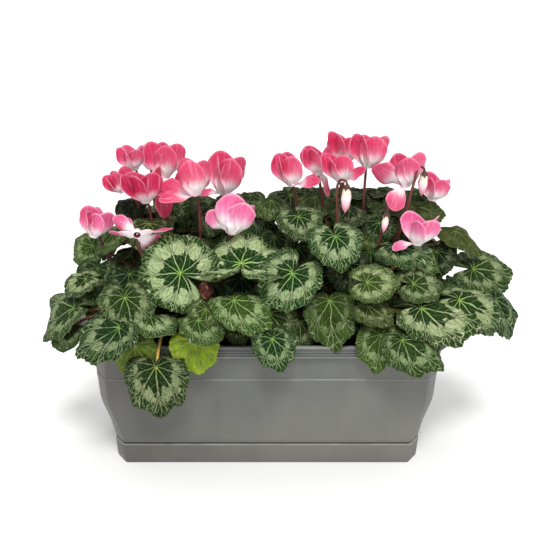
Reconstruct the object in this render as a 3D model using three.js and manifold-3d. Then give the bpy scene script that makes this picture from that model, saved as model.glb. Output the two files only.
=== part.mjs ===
// Two cyclamens growing in a plastic window box that stands in its tray.
// Millimetres, +Z up, +X along the box, -Y towards the viewer. The origin lies under the middle of the tray.
import * as THREE from "three";
import { mergeVertices } from "three/addons/utils/BufferGeometryUtils.js";
import Module from "manifold-3d";

const wasm = await Module();
wasm.setup();

// ---------------------------------------------------------------- driving dimensions

const GAP = 0.3; // clearance between pieces that touch

const BOX = {
  rimHalf: [200, 85],
  rimCut: [34, 51], // how much the rim's corners are cut off, along X and along Y
  rimTop: 140,
  rimBottom: 128,
  rimRound: 1.2,
  wall: 2.2,
  cut: [11.5, 19], // the same for the wall's corners
  floorBottom: 6,
  bottomHalf: [156, 60.5],
  shoulder: 24, // below it the wall stands inside the tray
  footSize: [26, 20],
  footPlaces: [-110, 110],
  footAside: 34,
  holeRadius: 4, // the drain holes, one beside each foot
  holeLength: 12,
  holeSides: 6,
  holeBeside: 39,
};
// The wall's faces: height, half length, half depth. The outside has a thin raised line.
const WALL_OUTSIDE = [
  [BOX.shoulder, 157.8, 62.3],
  [BOX.shoulder, 161, 65.5],
  [72, 171.5, 71],
  [98.8, 174.4, 74.2],
  [100, 175.4, 75.2],
  [101.2, 174.9, 74.7],
  [BOX.rimTop, 185, 80.5],
];
const WALL_INSIDE = [
  [9, 153.5, 58],
  [21, 155, 59.5],
  [28, 159.6, 64.1],
  [72, 169.3, 68.8],
  [100, 172.4, 72.2],
  [BOX.rimTop + 1, 182.8, 78.3],
];
const TRAY = {
  height: 22.3,
  floor: 2.2,
  wall: 2.2,
  cut: [10.5, 19],
  bottomHalf: [159.5, 64],
  topHalf: [161.3, 65.8],
};
// The soil's top rises in rings to a ridge, this share of the box's length.
const SOIL = { top: 122, mound: 5, rings: 3, ridge: 0.35, ragged: 2.5, seed: 7 };
const TUBER = { radius: 27, height: 34, centre: 121, sides: 9, rings: 4, holeRadius: 29, holeBottom: 103 };
const CROWNS = { left: [-88, 0], right: [94, 0] };

const LEAF = {
  thickness: 1.2,
  teeth: 0.035,
  sinus: 0.86,
  sinusWidth: 0.22,
  ring: 0.6,
  waves: 5,
  waveHeight: 0.05,
};
const STALK = {
  radius: 2.1,
  sides: 3,
  steps: 3,
  ahead: 0.14, // it meets the blade this share of its size ahead of the joint
  under: 20,
  behind: 7,
  overRim: 24,
  rise: 40, // how far it climbs before it bends outwards, at least
  bendBelow: 20, // or to this far below the blade
  bendOut: 0.25, // and this share of the way out
  sunk: 5,
  rootSpread: [11, 15, 19, 23],
};
const FLOWER_STALK = {
  radius: 1.7,
  sides: 3,
  rootSpread: 6,
  hook: 4.9, // half the hook's width
  hookHeight: 3.5,
  hookShoulders: [0.4, 1.6], // where the hook is highest, in half widths
  drop: 8, // how far the hook's other end comes down
  sunk: 1, // how far it runs into the calyx
  bendPlaces: [0.3, 0.3], // the bends' shares of the way, from the flower and from the root
  hang: 0.12, // how far the upper bend is drawn down along the flower's axis
  climb: 0.45, // how high the lower bend is
};
const BLOOM = {
  mouth: 5,
  rim: 6,
  tube: 7,
  neck: 3.6,
  pit: 4,
  sides: 6,
  petalThickness: 0.9,
  petalRoot: [4.4, 2], // how far out and how high each petal starts, inside the cup's wall
  petalFlare: 2.4,
  petalCup: 1.2,
  flareBy: 0.25, // the flare and the pinwheel turn are complete at these shares of the petal's length
  pinwheel: 52, // less the petal's lean, the degrees that it is turned so that it lies under the next one
  pinwheelLeast: 10,
  pinwheelBy: 0.4,
  openRange: [0.9, 1.1],
  lengthRange: [0.9, 1.04],
  calyx: 4.2,
  calyxTop: 2.6,
  calyxHeight: 4,
};
// A petal's half width at shares of its length, for a petal of length 1. Its tip is at 1.
const PETAL_ROWS = [
  [0, 0.055],
  [0.3, 0.14],
  [0.64, 0.33],
  [0.9, 0.25],
];
// Where the petals stand round the flower's axis. The stalk passes through the gap at 0.
const PETAL_TURNS = [180, 240, 300, 60, 120];
// A closed bud's radius at shares of its length from the tip, for a bud of length 1.
const BUD_ROWS = [
  [0.3, 0.16],
  [0.6, 0.2],
];

// ---------------------------------------------------------------- where the leaves and blooms are

// One leaf a line. x, y, z: where the stalk meets the blade. size: the blade's radius there. turn, rise: the way
// its upper face looks. spin: where its tip points, from downhill, turning to the right. point: how much longer
// the tip is. lobe: how much shorter the back lobes are. curl: how far the edge bends down.
const LEFT_LEAVES = [
  [-84, -85, 219, 41, -95, 25, -135, 0.05, 0.05, 0.12],
  [-27, -62, 231, 39, -90, 62, 170, 0.05, 0.25, 0.25],
  [-33, -99, 193, 32, -80, 30, 35, 0.3, 0.1, 0.12],
  [-25, -44, 200, 30, -90, 65, 0, 0.1, 0.2, 0.15],
  [-141, -80, 192, 31, -105, 20, -20, 0.15, 0.1, 0.08],
  [-196, -58, 172, 32, -142, 36, -32, 0.6, 0.35, 0.12],
  [-144, -106, 168, 36, -110, 50, -45, 0.3, 0.5, 0.15],
  [-131, -92, 144, 24, -93, 3, 0, 0.5, 0.3, 0.02],
  [-109, -107, 128, 34, -92, 12, 3, 0.55, 0.35, 0.12],
  [-76, -93, 152, 25, -88, 14, 10, 0.5, 0.3, 0.05],
  [-66, -106, 171, 24, -75, 50, 40, 0.2, 0.3, 0.12],
  [-58, -72, 186, 20, -90, 60, 0, 0.2, 0.1, 0.1],
  [4, -84, 176, 28, -75, 30, 30, 0.2, 0.1, 0.1],
  [6, -103, 157, 23, -95, 15, 15, 0.35, 0.1, 0.05],
  [-142, 10, 263, 19, -120, 55, 0, 0.2, 0.1, 0.15],
  [-120, -24, 252, 27, -95, 65, 0, 0.1, 0.1, 0.2],
  [-156, -20, 240, 20, -130, 60, -20, 0.2, 0.1, 0.15],
  [-182, -6, 222, 22, -120, 40, -60, 0.2, 0.1, 0.15],
  [-184, -46, 199, 21, -125, 60, -50, 0.2, 0.1, 0.15],
  [-140, -42, 204, 26, -100, 55, 0, 0.15, 0.1, 0.15],
  [-88, 20, 240, 26, -90, 40, 0, 0.1, 0.1, 0.15],
  [-58, 6, 256, 21, -90, 50, 0, 0.2, 0.1, 0.12],
  [-14, 12, 260, 25, -70, 60, 0, 0.2, 0.1, 0.15],
  [8, -24, 238, 22, -90, 55, 0, 0.2, 0.1, 0.15],
];
const RIGHT_LEAVES = [
  [26, -82, 218, 33, -80, 35, -40, 0.15, 0.1, 0.12],
  [63, -78, 185, 29, -95, 14, 8, 0.35, 0.15, 0.05],
  [82, -54, 218, 24, -95, 35, 10, 0.2, 0.1, 0.15],
  [88, -60, 186, 20, -75, 25, 0, 0.3, 0.1, 0.1],
  [98, -98, 214, 24, -95, 28, 92, 0.35, 0.1, 0.1],
  [100, -92, 186, 19, -80, 65, 55, 0.35, 0.1, 0.1],
  [114, -92, 156, 25, -95, 6, -6, 0.4, 0.3, 0.02],
  [134, -106, 152, 29, -85, 22, 50, 0.4, 0.25, 0.08],
  [153, -88, 183, 33, -75, 48, 50, 0.4, 0.1, 0.1],
  [190, -66, 178, 30, -65, 30, 40, 0.4, 0.1, 0.1],
  [237, -34, 173, 26, -45, 36, 15, 0.5, 0.2, 0.15],
  [212, -10, 198, 26, -70, 25, 100, 0.25, 0.1, 0.1],
  [148, -46, 224, 24, -60, 46, 60, 0.3, 0.1, 0.15],
  [130, -50, 236, 26, -90, 70, 80, 0.3, 0.1, 0.15],
  [196, -4, 238, 25, -30, 62, 20, 0.3, 0.1, 0.1],
  [150, 4, 262, 26, -60, 72, 70, 0.35, 0.1, 0.1],
  [116, -14, 250, 21, -90, 45, -30, 0.1, 0.1, 0.15],
  [68, -68, 252, 29, -85, 45, 10, 0.1, 0.1, 0.12],
  [32, -46, 266, 25, -95, 55, 30, 0.1, 0.1, 0.12],
  [4, 8, 268, 24, -60, 75, 0, 0.2, 0.1, 0.12],
  [50, 22, 268, 23, -90, 75, 0, 0.2, 0.1, 0.12],
  [106, 34, 268, 24, 90, 60, 0, 0.2, 0.1, 0.12],
  [84, -14, 264, 20, -90, 75, 0, 0.2, 0.1, 0.12],
  [176, -18, 220, 22, -90, 50, 0, 0.2, 0.1, 0.12],
  [106, -36, 226, 22, -90, 60, 0, 0.2, 0.1, 0.12],
];
// The leaves at the back, round each crown. They stand high and near, and low and far, by turns.
const BACK_LEAVES = {
  count: 5,
  from: 12,
  to: 168,
  near: { out: 69, height: 230, rise: 50 },
  far: { out: 92, height: 190, rise: 30 },
  ragged: 14,
  size: 35,
  sizeRange: [0.9, 1.1],
  turnSpread: 20,
  spinSpread: 30,
  form: [0.25, 0.15, 0.15], // point, lobe and curl
  seed: 21,
};

// One bloom a line. x, y, z: the middle of its mouth. turn: the side its stalk comes from. lean, leanTurn: how
// far its axis leans from upright, and which way. open: how far the petals stand out from the axis. length: of
// the petals. Last, the petals that stand out or hang another way: [which one, how far from the axis].
const LEFT_BLOOMS = [
  [-175, -40, 242, 80, 12, 10, 16, 30, []],
  [-147, -3, 279, 40, 28, 170, 14, 22, []],
  [-138, 18, 297, 90, 8, 160, 16, 27, []],
  [-125, 44, 292, 90, 6, 0, 12, 24, []],
  [-121, -34, 276, 90, 10, 150, 20, 34, []],
  [-105, 4, 292, 100, 4, 90, 15, 36, [[0, 158]]],
  [-70, -42, 286, 80, 14, 170, 16, 36, [[4, 78], [3, 62]]],
  [-45, -2, 276, 90, 6, 20, 17, 42, [[4, 94]]],
  [-35, -50, 248, 90, 10, 330, 30, 38, []],
  [-128, -66, 252, 90, 72, 90, 62, 30, []],
  [-80, 52, 258, 90, 8, 90, 14, 32, []],
];
const RIGHT_BLOOMS = [
  [26, -15, 289, 90, 6, 150, 14, 32, [[1, 82]]],
  [53, 0, 297, 90, 6, 190, 14, 30, [[0, 166]]],
  [80, 30, 300, 90, 4, 90, 14, 33, []],
  [75, -26, 296, 90, 6, 160, 16, 31, [[1, 60], [2, 54]]],
  [103, 4, 303, 90, 6, 30, 16, 35, []],
  [142, -12, 287, 90, 6, 170, 20, 34, [[4, 128]]],
  [172, 8, 267, 90, 10, 20, 12, 24, []],
  [151, -54, 238, 90, 8, 20, 27, 32, [[4, 118]]],
];

// One closed bud a line. x, y, z: its tip. turn, lean, leanTurn: as for a bloom. Then its length.
const LEFT_BUDS = [];
const RIGHT_BUDS = [
  [78, -52, 271, 180, 4, 0, 25],
  [157, -22, 280, 200, 6, 0, 22],
  [117, -50, 250, 90, 10, 20, 17],
];

// ---------------------------------------------------------------- small tools

// A seeded random number from 0 to 1.
function draws(seed) {
  let state = seed >>> 0;
  return () => {
    state = (state + 0x6d2b79f5) >>> 0;
    let t = Math.imul(state ^ (state >>> 15), 1 | state);
    t = (t + Math.imul(t ^ (t >>> 7), 61 | t)) ^ t;
    return ((t ^ (t >>> 14)) >>> 0) / 4294967296;
  };
}

function between(random, [low, high]) {
  return low + (high - low) * random();
}

// A number from minus half the spread to plus half of it.
function spread(random, width) {
  return width * (random() - 0.5);
}

const rad = THREE.MathUtils.degToRad;

function solidOf(geometry) {
  const bare = new THREE.BufferGeometry();
  bare.setAttribute("position", geometry.getAttribute("position").clone());
  if (geometry.index) bare.setIndex(geometry.index.clone());
  const merged = mergeVertices(bare, 1e-4);
  return new wasm.Manifold(
    new wasm.Mesh({
      numProp: 3,
      vertProperties: new Float32Array(merged.attributes.position.array),
      triVerts: new Uint32Array(merged.index.array),
    }),
  );
}

function meshOf(solid, name, material) {
  const made = solid.getMesh();
  const geometry = new THREE.BufferGeometry();
  geometry.setAttribute("position", new THREE.BufferAttribute(made.vertProperties, 3));
  geometry.setIndex(new THREE.BufferAttribute(made.triVerts, 1));
  geometry.computeVertexNormals();
  const mesh = new THREE.Mesh(geometry, material);
  mesh.name = name;
  return mesh;
}

function geometryOf(points, triangles) {
  const geometry = new THREE.BufferGeometry();
  const numbers = points.flatMap((p) => [p.x, p.y, p.z]);
  geometry.setAttribute("position", new THREE.Float32BufferAttribute(numbers, 3));
  geometry.setIndex(triangles.flat());
  return geometry;
}

function union(solids) {
  return wasm.Manifold.union(solids);
}

// A closed skin through rings of points, which all run anticlockwise seen from above. The ends are capped.
function loft(rings) {
  const count = rings[0].length;
  const points = rings.flat();
  const triangles = [];
  for (let level = 0; level + 1 < rings.length; level++)
    for (let i = 0; i < count; i++) {
      const a = level * count + i;
      const b = level * count + ((i + 1) % count);
      triangles.push([a, b, b + count], [a, b + count, a + count]);
    }
  const last = (rings.length - 1) * count;
  for (let i = 1; i + 1 < count; i++) triangles.push([0, i + 1, i], [last, last + i, last + i + 1]);
  return geometryOf(points, triangles);
}

// A rectangle with its corners cut off.
function octagon(z, [halfX, halfY], [cutX, cutY]) {
  const nearX = halfX - cutX;
  const nearY = halfY - cutY;
  return [
    [halfX, -nearY],
    [halfX, nearY],
    [nearX, halfY],
    [-nearX, halfY],
    [-halfX, nearY],
    [-halfX, -nearY],
    [-nearX, -halfY],
    [nearX, -halfY],
  ].map(([x, y]) => new THREE.Vector3(x, y, z));
}

// ---------------------------------------------------------------- the window box, its tray and the soil

function inset([halfX, halfY], by) {
  return [halfX - by, halfY - by];
}

// The inner wall's half size at a height.
function insideHalf(z) {
  const above = WALL_INSIDE.findIndex(([height]) => height > z);
  const [z0, x0, y0] = WALL_INSIDE[above - 1];
  const [z1, x1, y1] = WALL_INSIDE[above];
  const t = (z - z0) / (z1 - z0);
  return [x0 + (x1 - x0) * t, y0 + (y1 - y0) * t];
}

function windowBox() {
  const outside = [
    octagon(BOX.floorBottom, BOX.bottomHalf, BOX.cut),
    ...WALL_OUTSIDE.map(([z, x, y]) => octagon(z, [x, y], BOX.cut)),
  ];
  const inside = WALL_INSIDE.map(([z, x, y]) => octagon(z, [x, y], BOX.cut));
  const underRim = BOX.rimTop - BOX.wall;
  const rim = loft([
    octagon(BOX.rimBottom, inset(BOX.rimHalf, BOX.wall), BOX.rimCut),
    octagon(BOX.rimBottom, BOX.rimHalf, BOX.rimCut),
    octagon(BOX.rimTop - BOX.rimRound, BOX.rimHalf, BOX.rimCut),
    octagon(BOX.rimTop, inset(BOX.rimHalf, BOX.rimRound), BOX.rimCut),
  ]);
  const skirt = loft([
    octagon(BOX.rimBottom - 1, inset(BOX.rimHalf, BOX.wall), BOX.rimCut),
    octagon(underRim, inset(BOX.rimHalf, BOX.wall), BOX.rimCut),
  ]);
  let box = union([solidOf(rim).subtract(solidOf(skirt)), solidOf(loft(outside))]);
  box = box.subtract(solidOf(loft(inside)));
  const [footX, footY] = BOX.footSize;
  const footBottom = TRAY.floor + GAP;
  const footHeight = BOX.floorBottom + 1 - footBottom;
  for (const x of BOX.footPlaces)
    for (const y of [-BOX.footAside, BOX.footAside]) {
      const foot = new THREE.BoxGeometry(footX, footY, footHeight);
      foot.translate(x, y, footBottom + footHeight / 2);
      const hole = new THREE.CylinderGeometry(BOX.holeRadius, BOX.holeRadius, BOX.holeLength, BOX.holeSides);
      hole.rotateX(Math.PI / 2).translate(x + BOX.holeBeside, y, BOX.floorBottom);
      box = box.add(solidOf(foot)).subtract(solidOf(hole));
    }
  return box;
}

function tray() {
  const rings = [
    octagon(0, TRAY.bottomHalf, TRAY.cut),
    octagon(TRAY.height, TRAY.topHalf, TRAY.cut),
    octagon(TRAY.height, inset(TRAY.topHalf, TRAY.wall), TRAY.cut),
    octagon(TRAY.floor, inset(TRAY.bottomHalf, TRAY.wall), TRAY.cut),
  ];
  return solidOf(loft(rings));
}

function soil() {
  const random = draws(SOIL.seed);
  const heights = [...WALL_INSIDE.map(([z]) => z).filter((z) => z < SOIL.top), SOIL.top];
  heights[0] += GAP;
  const levels = heights.map((z) => octagon(z, inset(insideHalf(z), GAP), BOX.cut));
  const edge = levels[levels.length - 1];
  for (let ring = 1; ring <= SOIL.rings; ring++) {
    const share = 1 - ring / (SOIL.rings + 1);
    levels.push(
      edge.map(({ x, y }) => {
        const height = SOIL.top + SOIL.mound * (1 - share) + spread(random, SOIL.ragged);
        return new THREE.Vector3(x * (SOIL.ridge + (1 - SOIL.ridge) * share), y * share, height);
      }),
    );
  }
  let made = solidOf(loft(levels));
  for (const [x, y] of Object.values(CROWNS)) {
    const depth = BOX.rimTop - TUBER.holeBottom;
    const hole = new THREE.CylinderGeometry(TUBER.holeRadius, TUBER.holeRadius, depth, TUBER.sides);
    hole.rotateX(Math.PI / 2).translate(x, y, TUBER.holeBottom + depth / 2);
    made = made.subtract(solidOf(hole));
  }
  return made;
}

// ---------------------------------------------------------------- leaves

// The way the leaf looks, its tip and its side, as unit vectors.
function leafFrame([, , , , turn, rise, spin]) {
  const [a, e, s] = [rad(turn), rad(rise), rad(spin)];
  const normal = new THREE.Vector3(Math.cos(e) * Math.cos(a), Math.cos(e) * Math.sin(a), Math.sin(e));
  const downhill = new THREE.Vector3(Math.sin(e) * Math.cos(a), Math.sin(e) * Math.sin(a), -Math.cos(e));
  const right = downhill.clone().negate().cross(normal);
  const tip = downhill.multiplyScalar(Math.cos(s)).addScaledVector(right, Math.sin(s));
  return { normal, tip, side: normal.clone().cross(tip) };
}

// How far the blade's edge is from the joint, at an angle from its tip.
function leafEdge([, , , size, , , , point, lobe], angle) {
  const ahead = 0.5 + 0.5 * Math.cos(angle);
  const reach = 1 + point * ahead ** 4 - lobe * (1 - ahead) ** 2;
  const sinus = Math.exp(-(((Math.PI - Math.abs(angle)) / LEAF.sinusWidth) ** 2));
  return size * reach * (1 - LEAF.sinus * sinus);
}

// A point of the blade's upper face, from 0 at the joint to 1 at the edge. The waves start from the leaf's own x,
// so that no two leaves are alike.
function leafPoint(leaf, frame, share, angle, tooth = 0) {
  const [x, y, z, size, , , , , , curl] = leaf;
  const reach = leafEdge(leaf, angle) * share * (1 + tooth);
  const far = reach / size;
  const wave = LEAF.waveHeight * Math.sin(LEAF.waves * angle + x) * far * far;
  const height = size * (wave - curl * far * far);
  return new THREE.Vector3(x, y, z)
    .addScaledVector(frame.tip, reach * Math.cos(angle))
    .addScaledVector(frame.side, reach * Math.sin(angle))
    .addScaledVector(frame.normal, height);
}

// Angles round the edge, in degrees, and round the inner ring.
const EDGE_ANGLES = [-158, -133, -107, -80, -53, -27, 0, 27, 53, 80, 107, 133, 158];
const RING_ANGLES = EDGE_ANGLES.filter((_, i) => i % 2);

function blade(leaf) {
  const frame = leafFrame(leaf);
  const edge = EDGE_ANGLES.map((a, i) => leafPoint(leaf, frame, 1, rad(a), (i % 2 ? -1 : 1) * LEAF.teeth));
  const ring = RING_ANGLES.map((a) => leafPoint(leaf, frame, LEAF.ring, rad(a)));
  const top = [leafPoint(leaf, frame, 1, Math.PI), ...ring, ...edge];
  const [sinus, firstRing, firstEdge] = [0, 1, 1 + ring.length];
  const [lastRing, lastEdge] = [firstEdge - 1, top.length - 1];
  const faces = [
    [sinus, firstEdge, firstRing],
    [firstEdge, firstEdge + 1, firstRing],
    [lastEdge - 1, lastEdge, lastRing],
    [lastEdge, sinus, lastRing],
  ];
  for (let i = 0; i + 1 < ring.length; i++) {
    const [r, e] = [firstRing + i, firstEdge + 2 * i + 1];
    faces.push([sinus, r, r + 1], [r, e, e + 1], [r, e + 1, r + 1], [r + 1, e + 1, e + 2]);
  }
  const outline = [sinus, ...edge.map((_, i) => firstEdge + i)];
  return slab(top, faces, outline, frame.normal.clone().multiplyScalar(-LEAF.thickness));
}

// A thin solid: an upper skin, the same skin moved by the thickness, and a wall round its outline. The outline
// runs anticlockwise seen from above.
function slab(top, faces, outline, thickness) {
  const count = top.length;
  const under = top.map((p) => p.clone().add(thickness));
  const triangles = [...faces, ...faces.map(([a, b, c]) => [a + count, c + count, b + count])];
  outline.forEach((a, i) => {
    const b = outline[(i + 1) % outline.length];
    triangles.push([a, a + count, b], [b, a + count, b + count]);
  });
  return solidOf(geometryOf([...top, ...under], triangles));
}

// A stalk along a curve. Its steps are even in the curve's own parameter, and not in its length.
function tube(curve, radius, sides, steps) {
  const outline = new THREE.Shape();
  for (let i = 0; i < sides; i++) {
    const a = (2 * Math.PI * i) / sides;
    if (i) outline.lineTo(radius * Math.cos(a), radius * Math.sin(a));
    else outline.moveTo(radius, 0);
  }
  outline.closePath();
  curve.getPointAt = curve.getPoint;
  curve.getTangentAt = curve.getTangent;
  return solidOf(new THREE.ExtrudeGeometry(outline, { steps, extrudePath: curve, curveSegments: 1 }));
}

// A point just inside the tuber, some way out from the crown towards a place.
function rootTowards([crownX, crownY], place, spread) {
  const outward = new THREE.Vector3(place.x - crownX, place.y - crownY, 0).normalize();
  const height = (TUBER.height / 2) * Math.sqrt(1 - (spread / TUBER.radius) ** 2);
  const root = new THREE.Vector3(crownX, crownY, TUBER.centre + height - STALK.sunk);
  return root.addScaledVector(outward, spread);
}

function leafStalk(leaf, crown, index) {
  const [x, y, z] = leaf;
  const frame = leafFrame(leaf);
  const joint = new THREE.Vector3(x, y, z);
  const root = rootTowards(crown, joint, STALK.rootSpread[index % STALK.rootSpread.length]);
  const lift = Math.max(STALK.rise, z - root.z - STALK.bendBelow);
  const bend = root.clone().lerp(joint, STALK.bendOut).setZ(root.z + lift);
  const end = leafPoint(leaf, frame, STALK.ahead, 0).addScaledVector(frame.normal, -0.5 * LEAF.thickness);
  const under = end.clone().addScaledVector(frame.normal, -STALK.under);
  under.addScaledVector(frame.tip, -STALK.behind);
  under.z = Math.max(under.z, BOX.rimTop + STALK.overRim);
  return tube(new THREE.CubicBezierCurve3(root, bend, under, end), STALK.radius, STALK.sides, STALK.steps);
}

function backLeaves(crown, seed) {
  const random = draws(BACK_LEAVES.seed + seed);
  const { count, from, to, near, far, ragged, size, sizeRange, turnSpread, spinSpread, form } = BACK_LEAVES;
  return Array.from({ length: count }, (_, i) => {
    const turn = from + ((to - from) * (i + 0.5)) / count;
    const { out, height, rise } = i % 2 ? far : near;
    return [
      crown[0] + out * Math.cos(rad(turn)),
      crown[1] + out * Math.sin(rad(turn)),
      height + spread(random, ragged),
      size * between(random, sizeRange),
      turn + spread(random, turnSpread),
      rise,
      spread(random, spinSpread),
      ...form,
    ];
  });
}

// ---------------------------------------------------------------- blooms

// The bloom's own axes: up runs from its mouth to its stalk's end, back is the side its stalk comes from.
function bloomFrame([x, y, z, turn, lean, leanTurn]) {
  const up = new THREE.Vector3(
    Math.sin(rad(lean)) * Math.cos(rad(leanTurn)),
    Math.sin(rad(lean)) * Math.sin(rad(leanTurn)),
    Math.cos(rad(lean)),
  );
  const back = new THREE.Vector3(Math.cos(rad(turn)), Math.sin(rad(turn)), 0);
  back.addScaledVector(up, -back.dot(up)).normalize();
  return new THREE.Matrix4().makeBasis(back, up.clone().cross(back), up).setPosition(x, y, z);
}

// A petal stands out from the mouth's rim. lean: its angle from the axis. Its outer face is the slab's upper one.
function petal(turn, lean, length) {
  const along = [Math.sin(rad(lean)), Math.cos(rad(lean))];
  const outward = new THREE.Vector3(along[1], 0, -along[0]);
  const axis = new THREE.Vector3(0, 0, 1);
  const [rootOut, rootUp] = BLOOM.petalRoot;
  const pinwheel = rad(Math.max(BLOOM.pinwheelLeast, BLOOM.pinwheel - lean));
  const spot = (share, across, cup) => {
    const turned = pinwheel * Math.min(1, share / BLOOM.pinwheelBy);
    const out = rootOut + BLOOM.petalFlare * Math.min(1, share / BLOOM.flareBy) + length * share * along[0];
    const up = rootUp + length * share * along[1];
    return new THREE.Vector3(out + across * Math.sin(turned), across * Math.cos(turned), up)
      .addScaledVector(outward, cup)
      .applyAxisAngle(axis, rad(turn));
  };
  const [base, low, wide, high] = PETAL_ROWS.map(([share, half]) =>
    [-1, 1].map((side) => spot(share, side * half * length, 0)),
  );
  const top = [...base, ...low, ...wide, ...high, spot(1, 0, BLOOM.petalCup)];
  const faces = [
    [0, 1, 3],
    [0, 3, 2],
    [2, 3, 5],
    [2, 5, 4],
    [4, 5, 7],
    [4, 7, 6],
    [6, 7, 8],
  ];
  const outline = [0, 1, 3, 5, 7, 8, 6, 4, 2];
  const inward = outward.applyAxisAngle(axis, rad(turn)).multiplyScalar(-BLOOM.petalThickness);
  return slab(top, faces, outline, inward);
}

function corolla(bloom, random) {
  const [, , , , , , open, length, others] = bloom;
  const leans = new Map(others);
  const profile = [
    [0, BLOOM.pit],
    [BLOOM.mouth - 1, 0],
    [BLOOM.rim, 0],
    [BLOOM.neck, BLOOM.tube],
    [0, BLOOM.tube],
  ].map(([r, h]) => new THREE.Vector2(r, h));
  const cup = new THREE.LatheGeometry(profile, BLOOM.sides).rotateX(Math.PI / 2);
  const pieces = [solidOf(cup)];
  PETAL_TURNS.forEach((turn, i) => {
    const lean = leans.get(i) ?? open * between(random, BLOOM.openRange);
    pieces.push(petal(turn, lean, length * between(random, BLOOM.lengthRange)));
  });
  return union(pieces).transform(bloomFrame(bloom).elements);
}

// A closed bud hangs from its stalk with its point down.
function budSolid(bud) {
  const length = bud[6];
  const profile = [
    [0, 0],
    ...BUD_ROWS.map(([share, radius]) => [radius * length, share * length]),
    [BLOOM.neck, length],
    [0, length],
  ].map(([r, h]) => new THREE.Vector2(r, h));
  const rolled = new THREE.LatheGeometry(profile, BLOOM.sides).rotateX(Math.PI / 2);
  return solidOf(rolled).transform(bloomFrame(bud).elements);
}

// The calyx sits on top of the flower, at a height above its mouth or tip. The stalk hooks over to it.
function flowerStalk(flower, height, crown) {
  const frame = bloomFrame(flower);
  const local = (back, up) => new THREE.Vector3(back, 0, up).applyMatrix4(frame);
  const { calyx, calyxTop, calyxHeight, sides } = BLOOM;
  const cup = new THREE.CylinderGeometry(calyxTop, calyx, calyxHeight, sides);
  cup.rotateX(Math.PI / 2).translate(0, 0, height + GAP + calyxHeight / 2).applyMatrix4(frame);
  const { hook, hookHeight, hookShoulders, drop, sunk, bendPlaces, climb } = FLOWER_STALK;
  const top = height + calyxHeight;
  const hang = local(2 * hook, top - drop);
  const root = rootTowards(crown, hang, FLOWER_STALK.rootSpread);
  const rise = hang.z - root.z;
  const down = local(0, 0).sub(local(0, 1));
  const path = [
    local(0, top - sunk),
    ...hookShoulders.map((share) => local(share * hook, top + hookHeight)),
    hang,
    hang.clone().lerp(root, bendPlaces[0]).addScaledVector(down, FLOWER_STALK.hang * rise),
    root.clone().lerp(hang, bendPlaces[1]).setZ(root.z + climb * rise),
    root,
  ];
  const { radius, sides: stemSides } = FLOWER_STALK;
  const stem = tube(new THREE.CatmullRomCurve3(path), radius, stemSides, path.length - 1);
  return [solidOf(cup), stem];
}

// ---------------------------------------------------------------- plants

function tuber([x, y]) {
  const ball = new THREE.SphereGeometry(TUBER.radius, TUBER.sides, TUBER.rings);
  ball.rotateX(Math.PI / 2).scale(1, 1, TUBER.height / 2 / TUBER.radius).translate(x, y, TUBER.centre);
  return solidOf(ball);
}

function plant(leaves, blooms, buds, crown) {
  const pieces = [tuber(crown)];
  leaves.forEach((leaf, i) => pieces.push(blade(leaf), leafStalk(leaf, crown, i)));
  for (const bloom of blooms) pieces.push(...flowerStalk(bloom, BLOOM.tube, crown));
  for (const bud of buds) pieces.push(...flowerStalk(bud, bud[6], crown));
  return union(pieces);
}

// ---------------------------------------------------------------- materials and the object

const plastic = new THREE.MeshStandardMaterial({ color: 0x6f716d, roughness: 0.55, metalness: 0 });
const compost = new THREE.MeshStandardMaterial({ color: 0x2e2019, roughness: 1, metalness: 0 });
const foliage = new THREE.MeshStandardMaterial({ color: 0x4f7a45, roughness: 0.5, metalness: 0 });
const pink = new THREE.MeshStandardMaterial({ color: 0xe46a92, roughness: 0.45, metalness: 0 });

const object = new THREE.Group();
object.add(meshOf(tray(), "tray", plastic));
object.add(meshOf(windowBox(), "window_box", plastic));
object.add(meshOf(soil(), "soil", compost));

const PLANTS = [
  { side: "left", leaves: LEFT_LEAVES, blooms: LEFT_BLOOMS, buds: LEFT_BUDS, seed: 3 },
  { side: "right", leaves: RIGHT_LEAVES, blooms: RIGHT_BLOOMS, buds: RIGHT_BUDS, seed: 5 },
];
for (const { side, leaves, blooms, buds, seed } of PLANTS) {
  const crown = CROWNS[side];
  const random = draws(seed);
  const all = [...leaves, ...backLeaves(crown, seed)];
  object.add(meshOf(plant(all, blooms, buds, crown), `${side}_plant`, foliage));
  blooms.forEach((bloom, i) => object.add(meshOf(corolla(bloom, random), `${side}_bloom_${i + 1}`, pink)));
  buds.forEach((bud, i) => object.add(meshOf(budSolid(bud), `${side}_bud_${i + 1}`, pink)));
}

export default object;
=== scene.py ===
"""Two cyclamens in a grey plastic window box, with their tray. Metres, Z up, the viewer on the -Y side."""

import random
from math import atan2, cos, exp, hypot, pi, radians, sin, sqrt
from typing import NamedTuple

import bmesh
import bpy
from mathutils import Matrix, Quaternion, Vector
from mathutils.geometry import interpolate_bezier


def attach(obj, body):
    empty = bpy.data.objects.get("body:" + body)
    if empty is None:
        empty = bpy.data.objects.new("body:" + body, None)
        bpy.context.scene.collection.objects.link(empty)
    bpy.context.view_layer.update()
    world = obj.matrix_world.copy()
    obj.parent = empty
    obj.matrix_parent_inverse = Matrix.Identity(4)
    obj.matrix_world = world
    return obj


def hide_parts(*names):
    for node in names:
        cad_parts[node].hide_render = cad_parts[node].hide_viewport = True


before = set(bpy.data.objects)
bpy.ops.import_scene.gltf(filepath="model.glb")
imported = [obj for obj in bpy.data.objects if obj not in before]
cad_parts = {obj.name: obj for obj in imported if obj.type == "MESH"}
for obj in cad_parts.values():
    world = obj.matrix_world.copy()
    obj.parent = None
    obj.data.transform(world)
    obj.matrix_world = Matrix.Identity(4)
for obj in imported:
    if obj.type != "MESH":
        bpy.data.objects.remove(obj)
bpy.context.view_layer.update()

MM = 0.001

# ---------------------------------------------------------------- driving sizes

GAP = 0.0003

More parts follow.
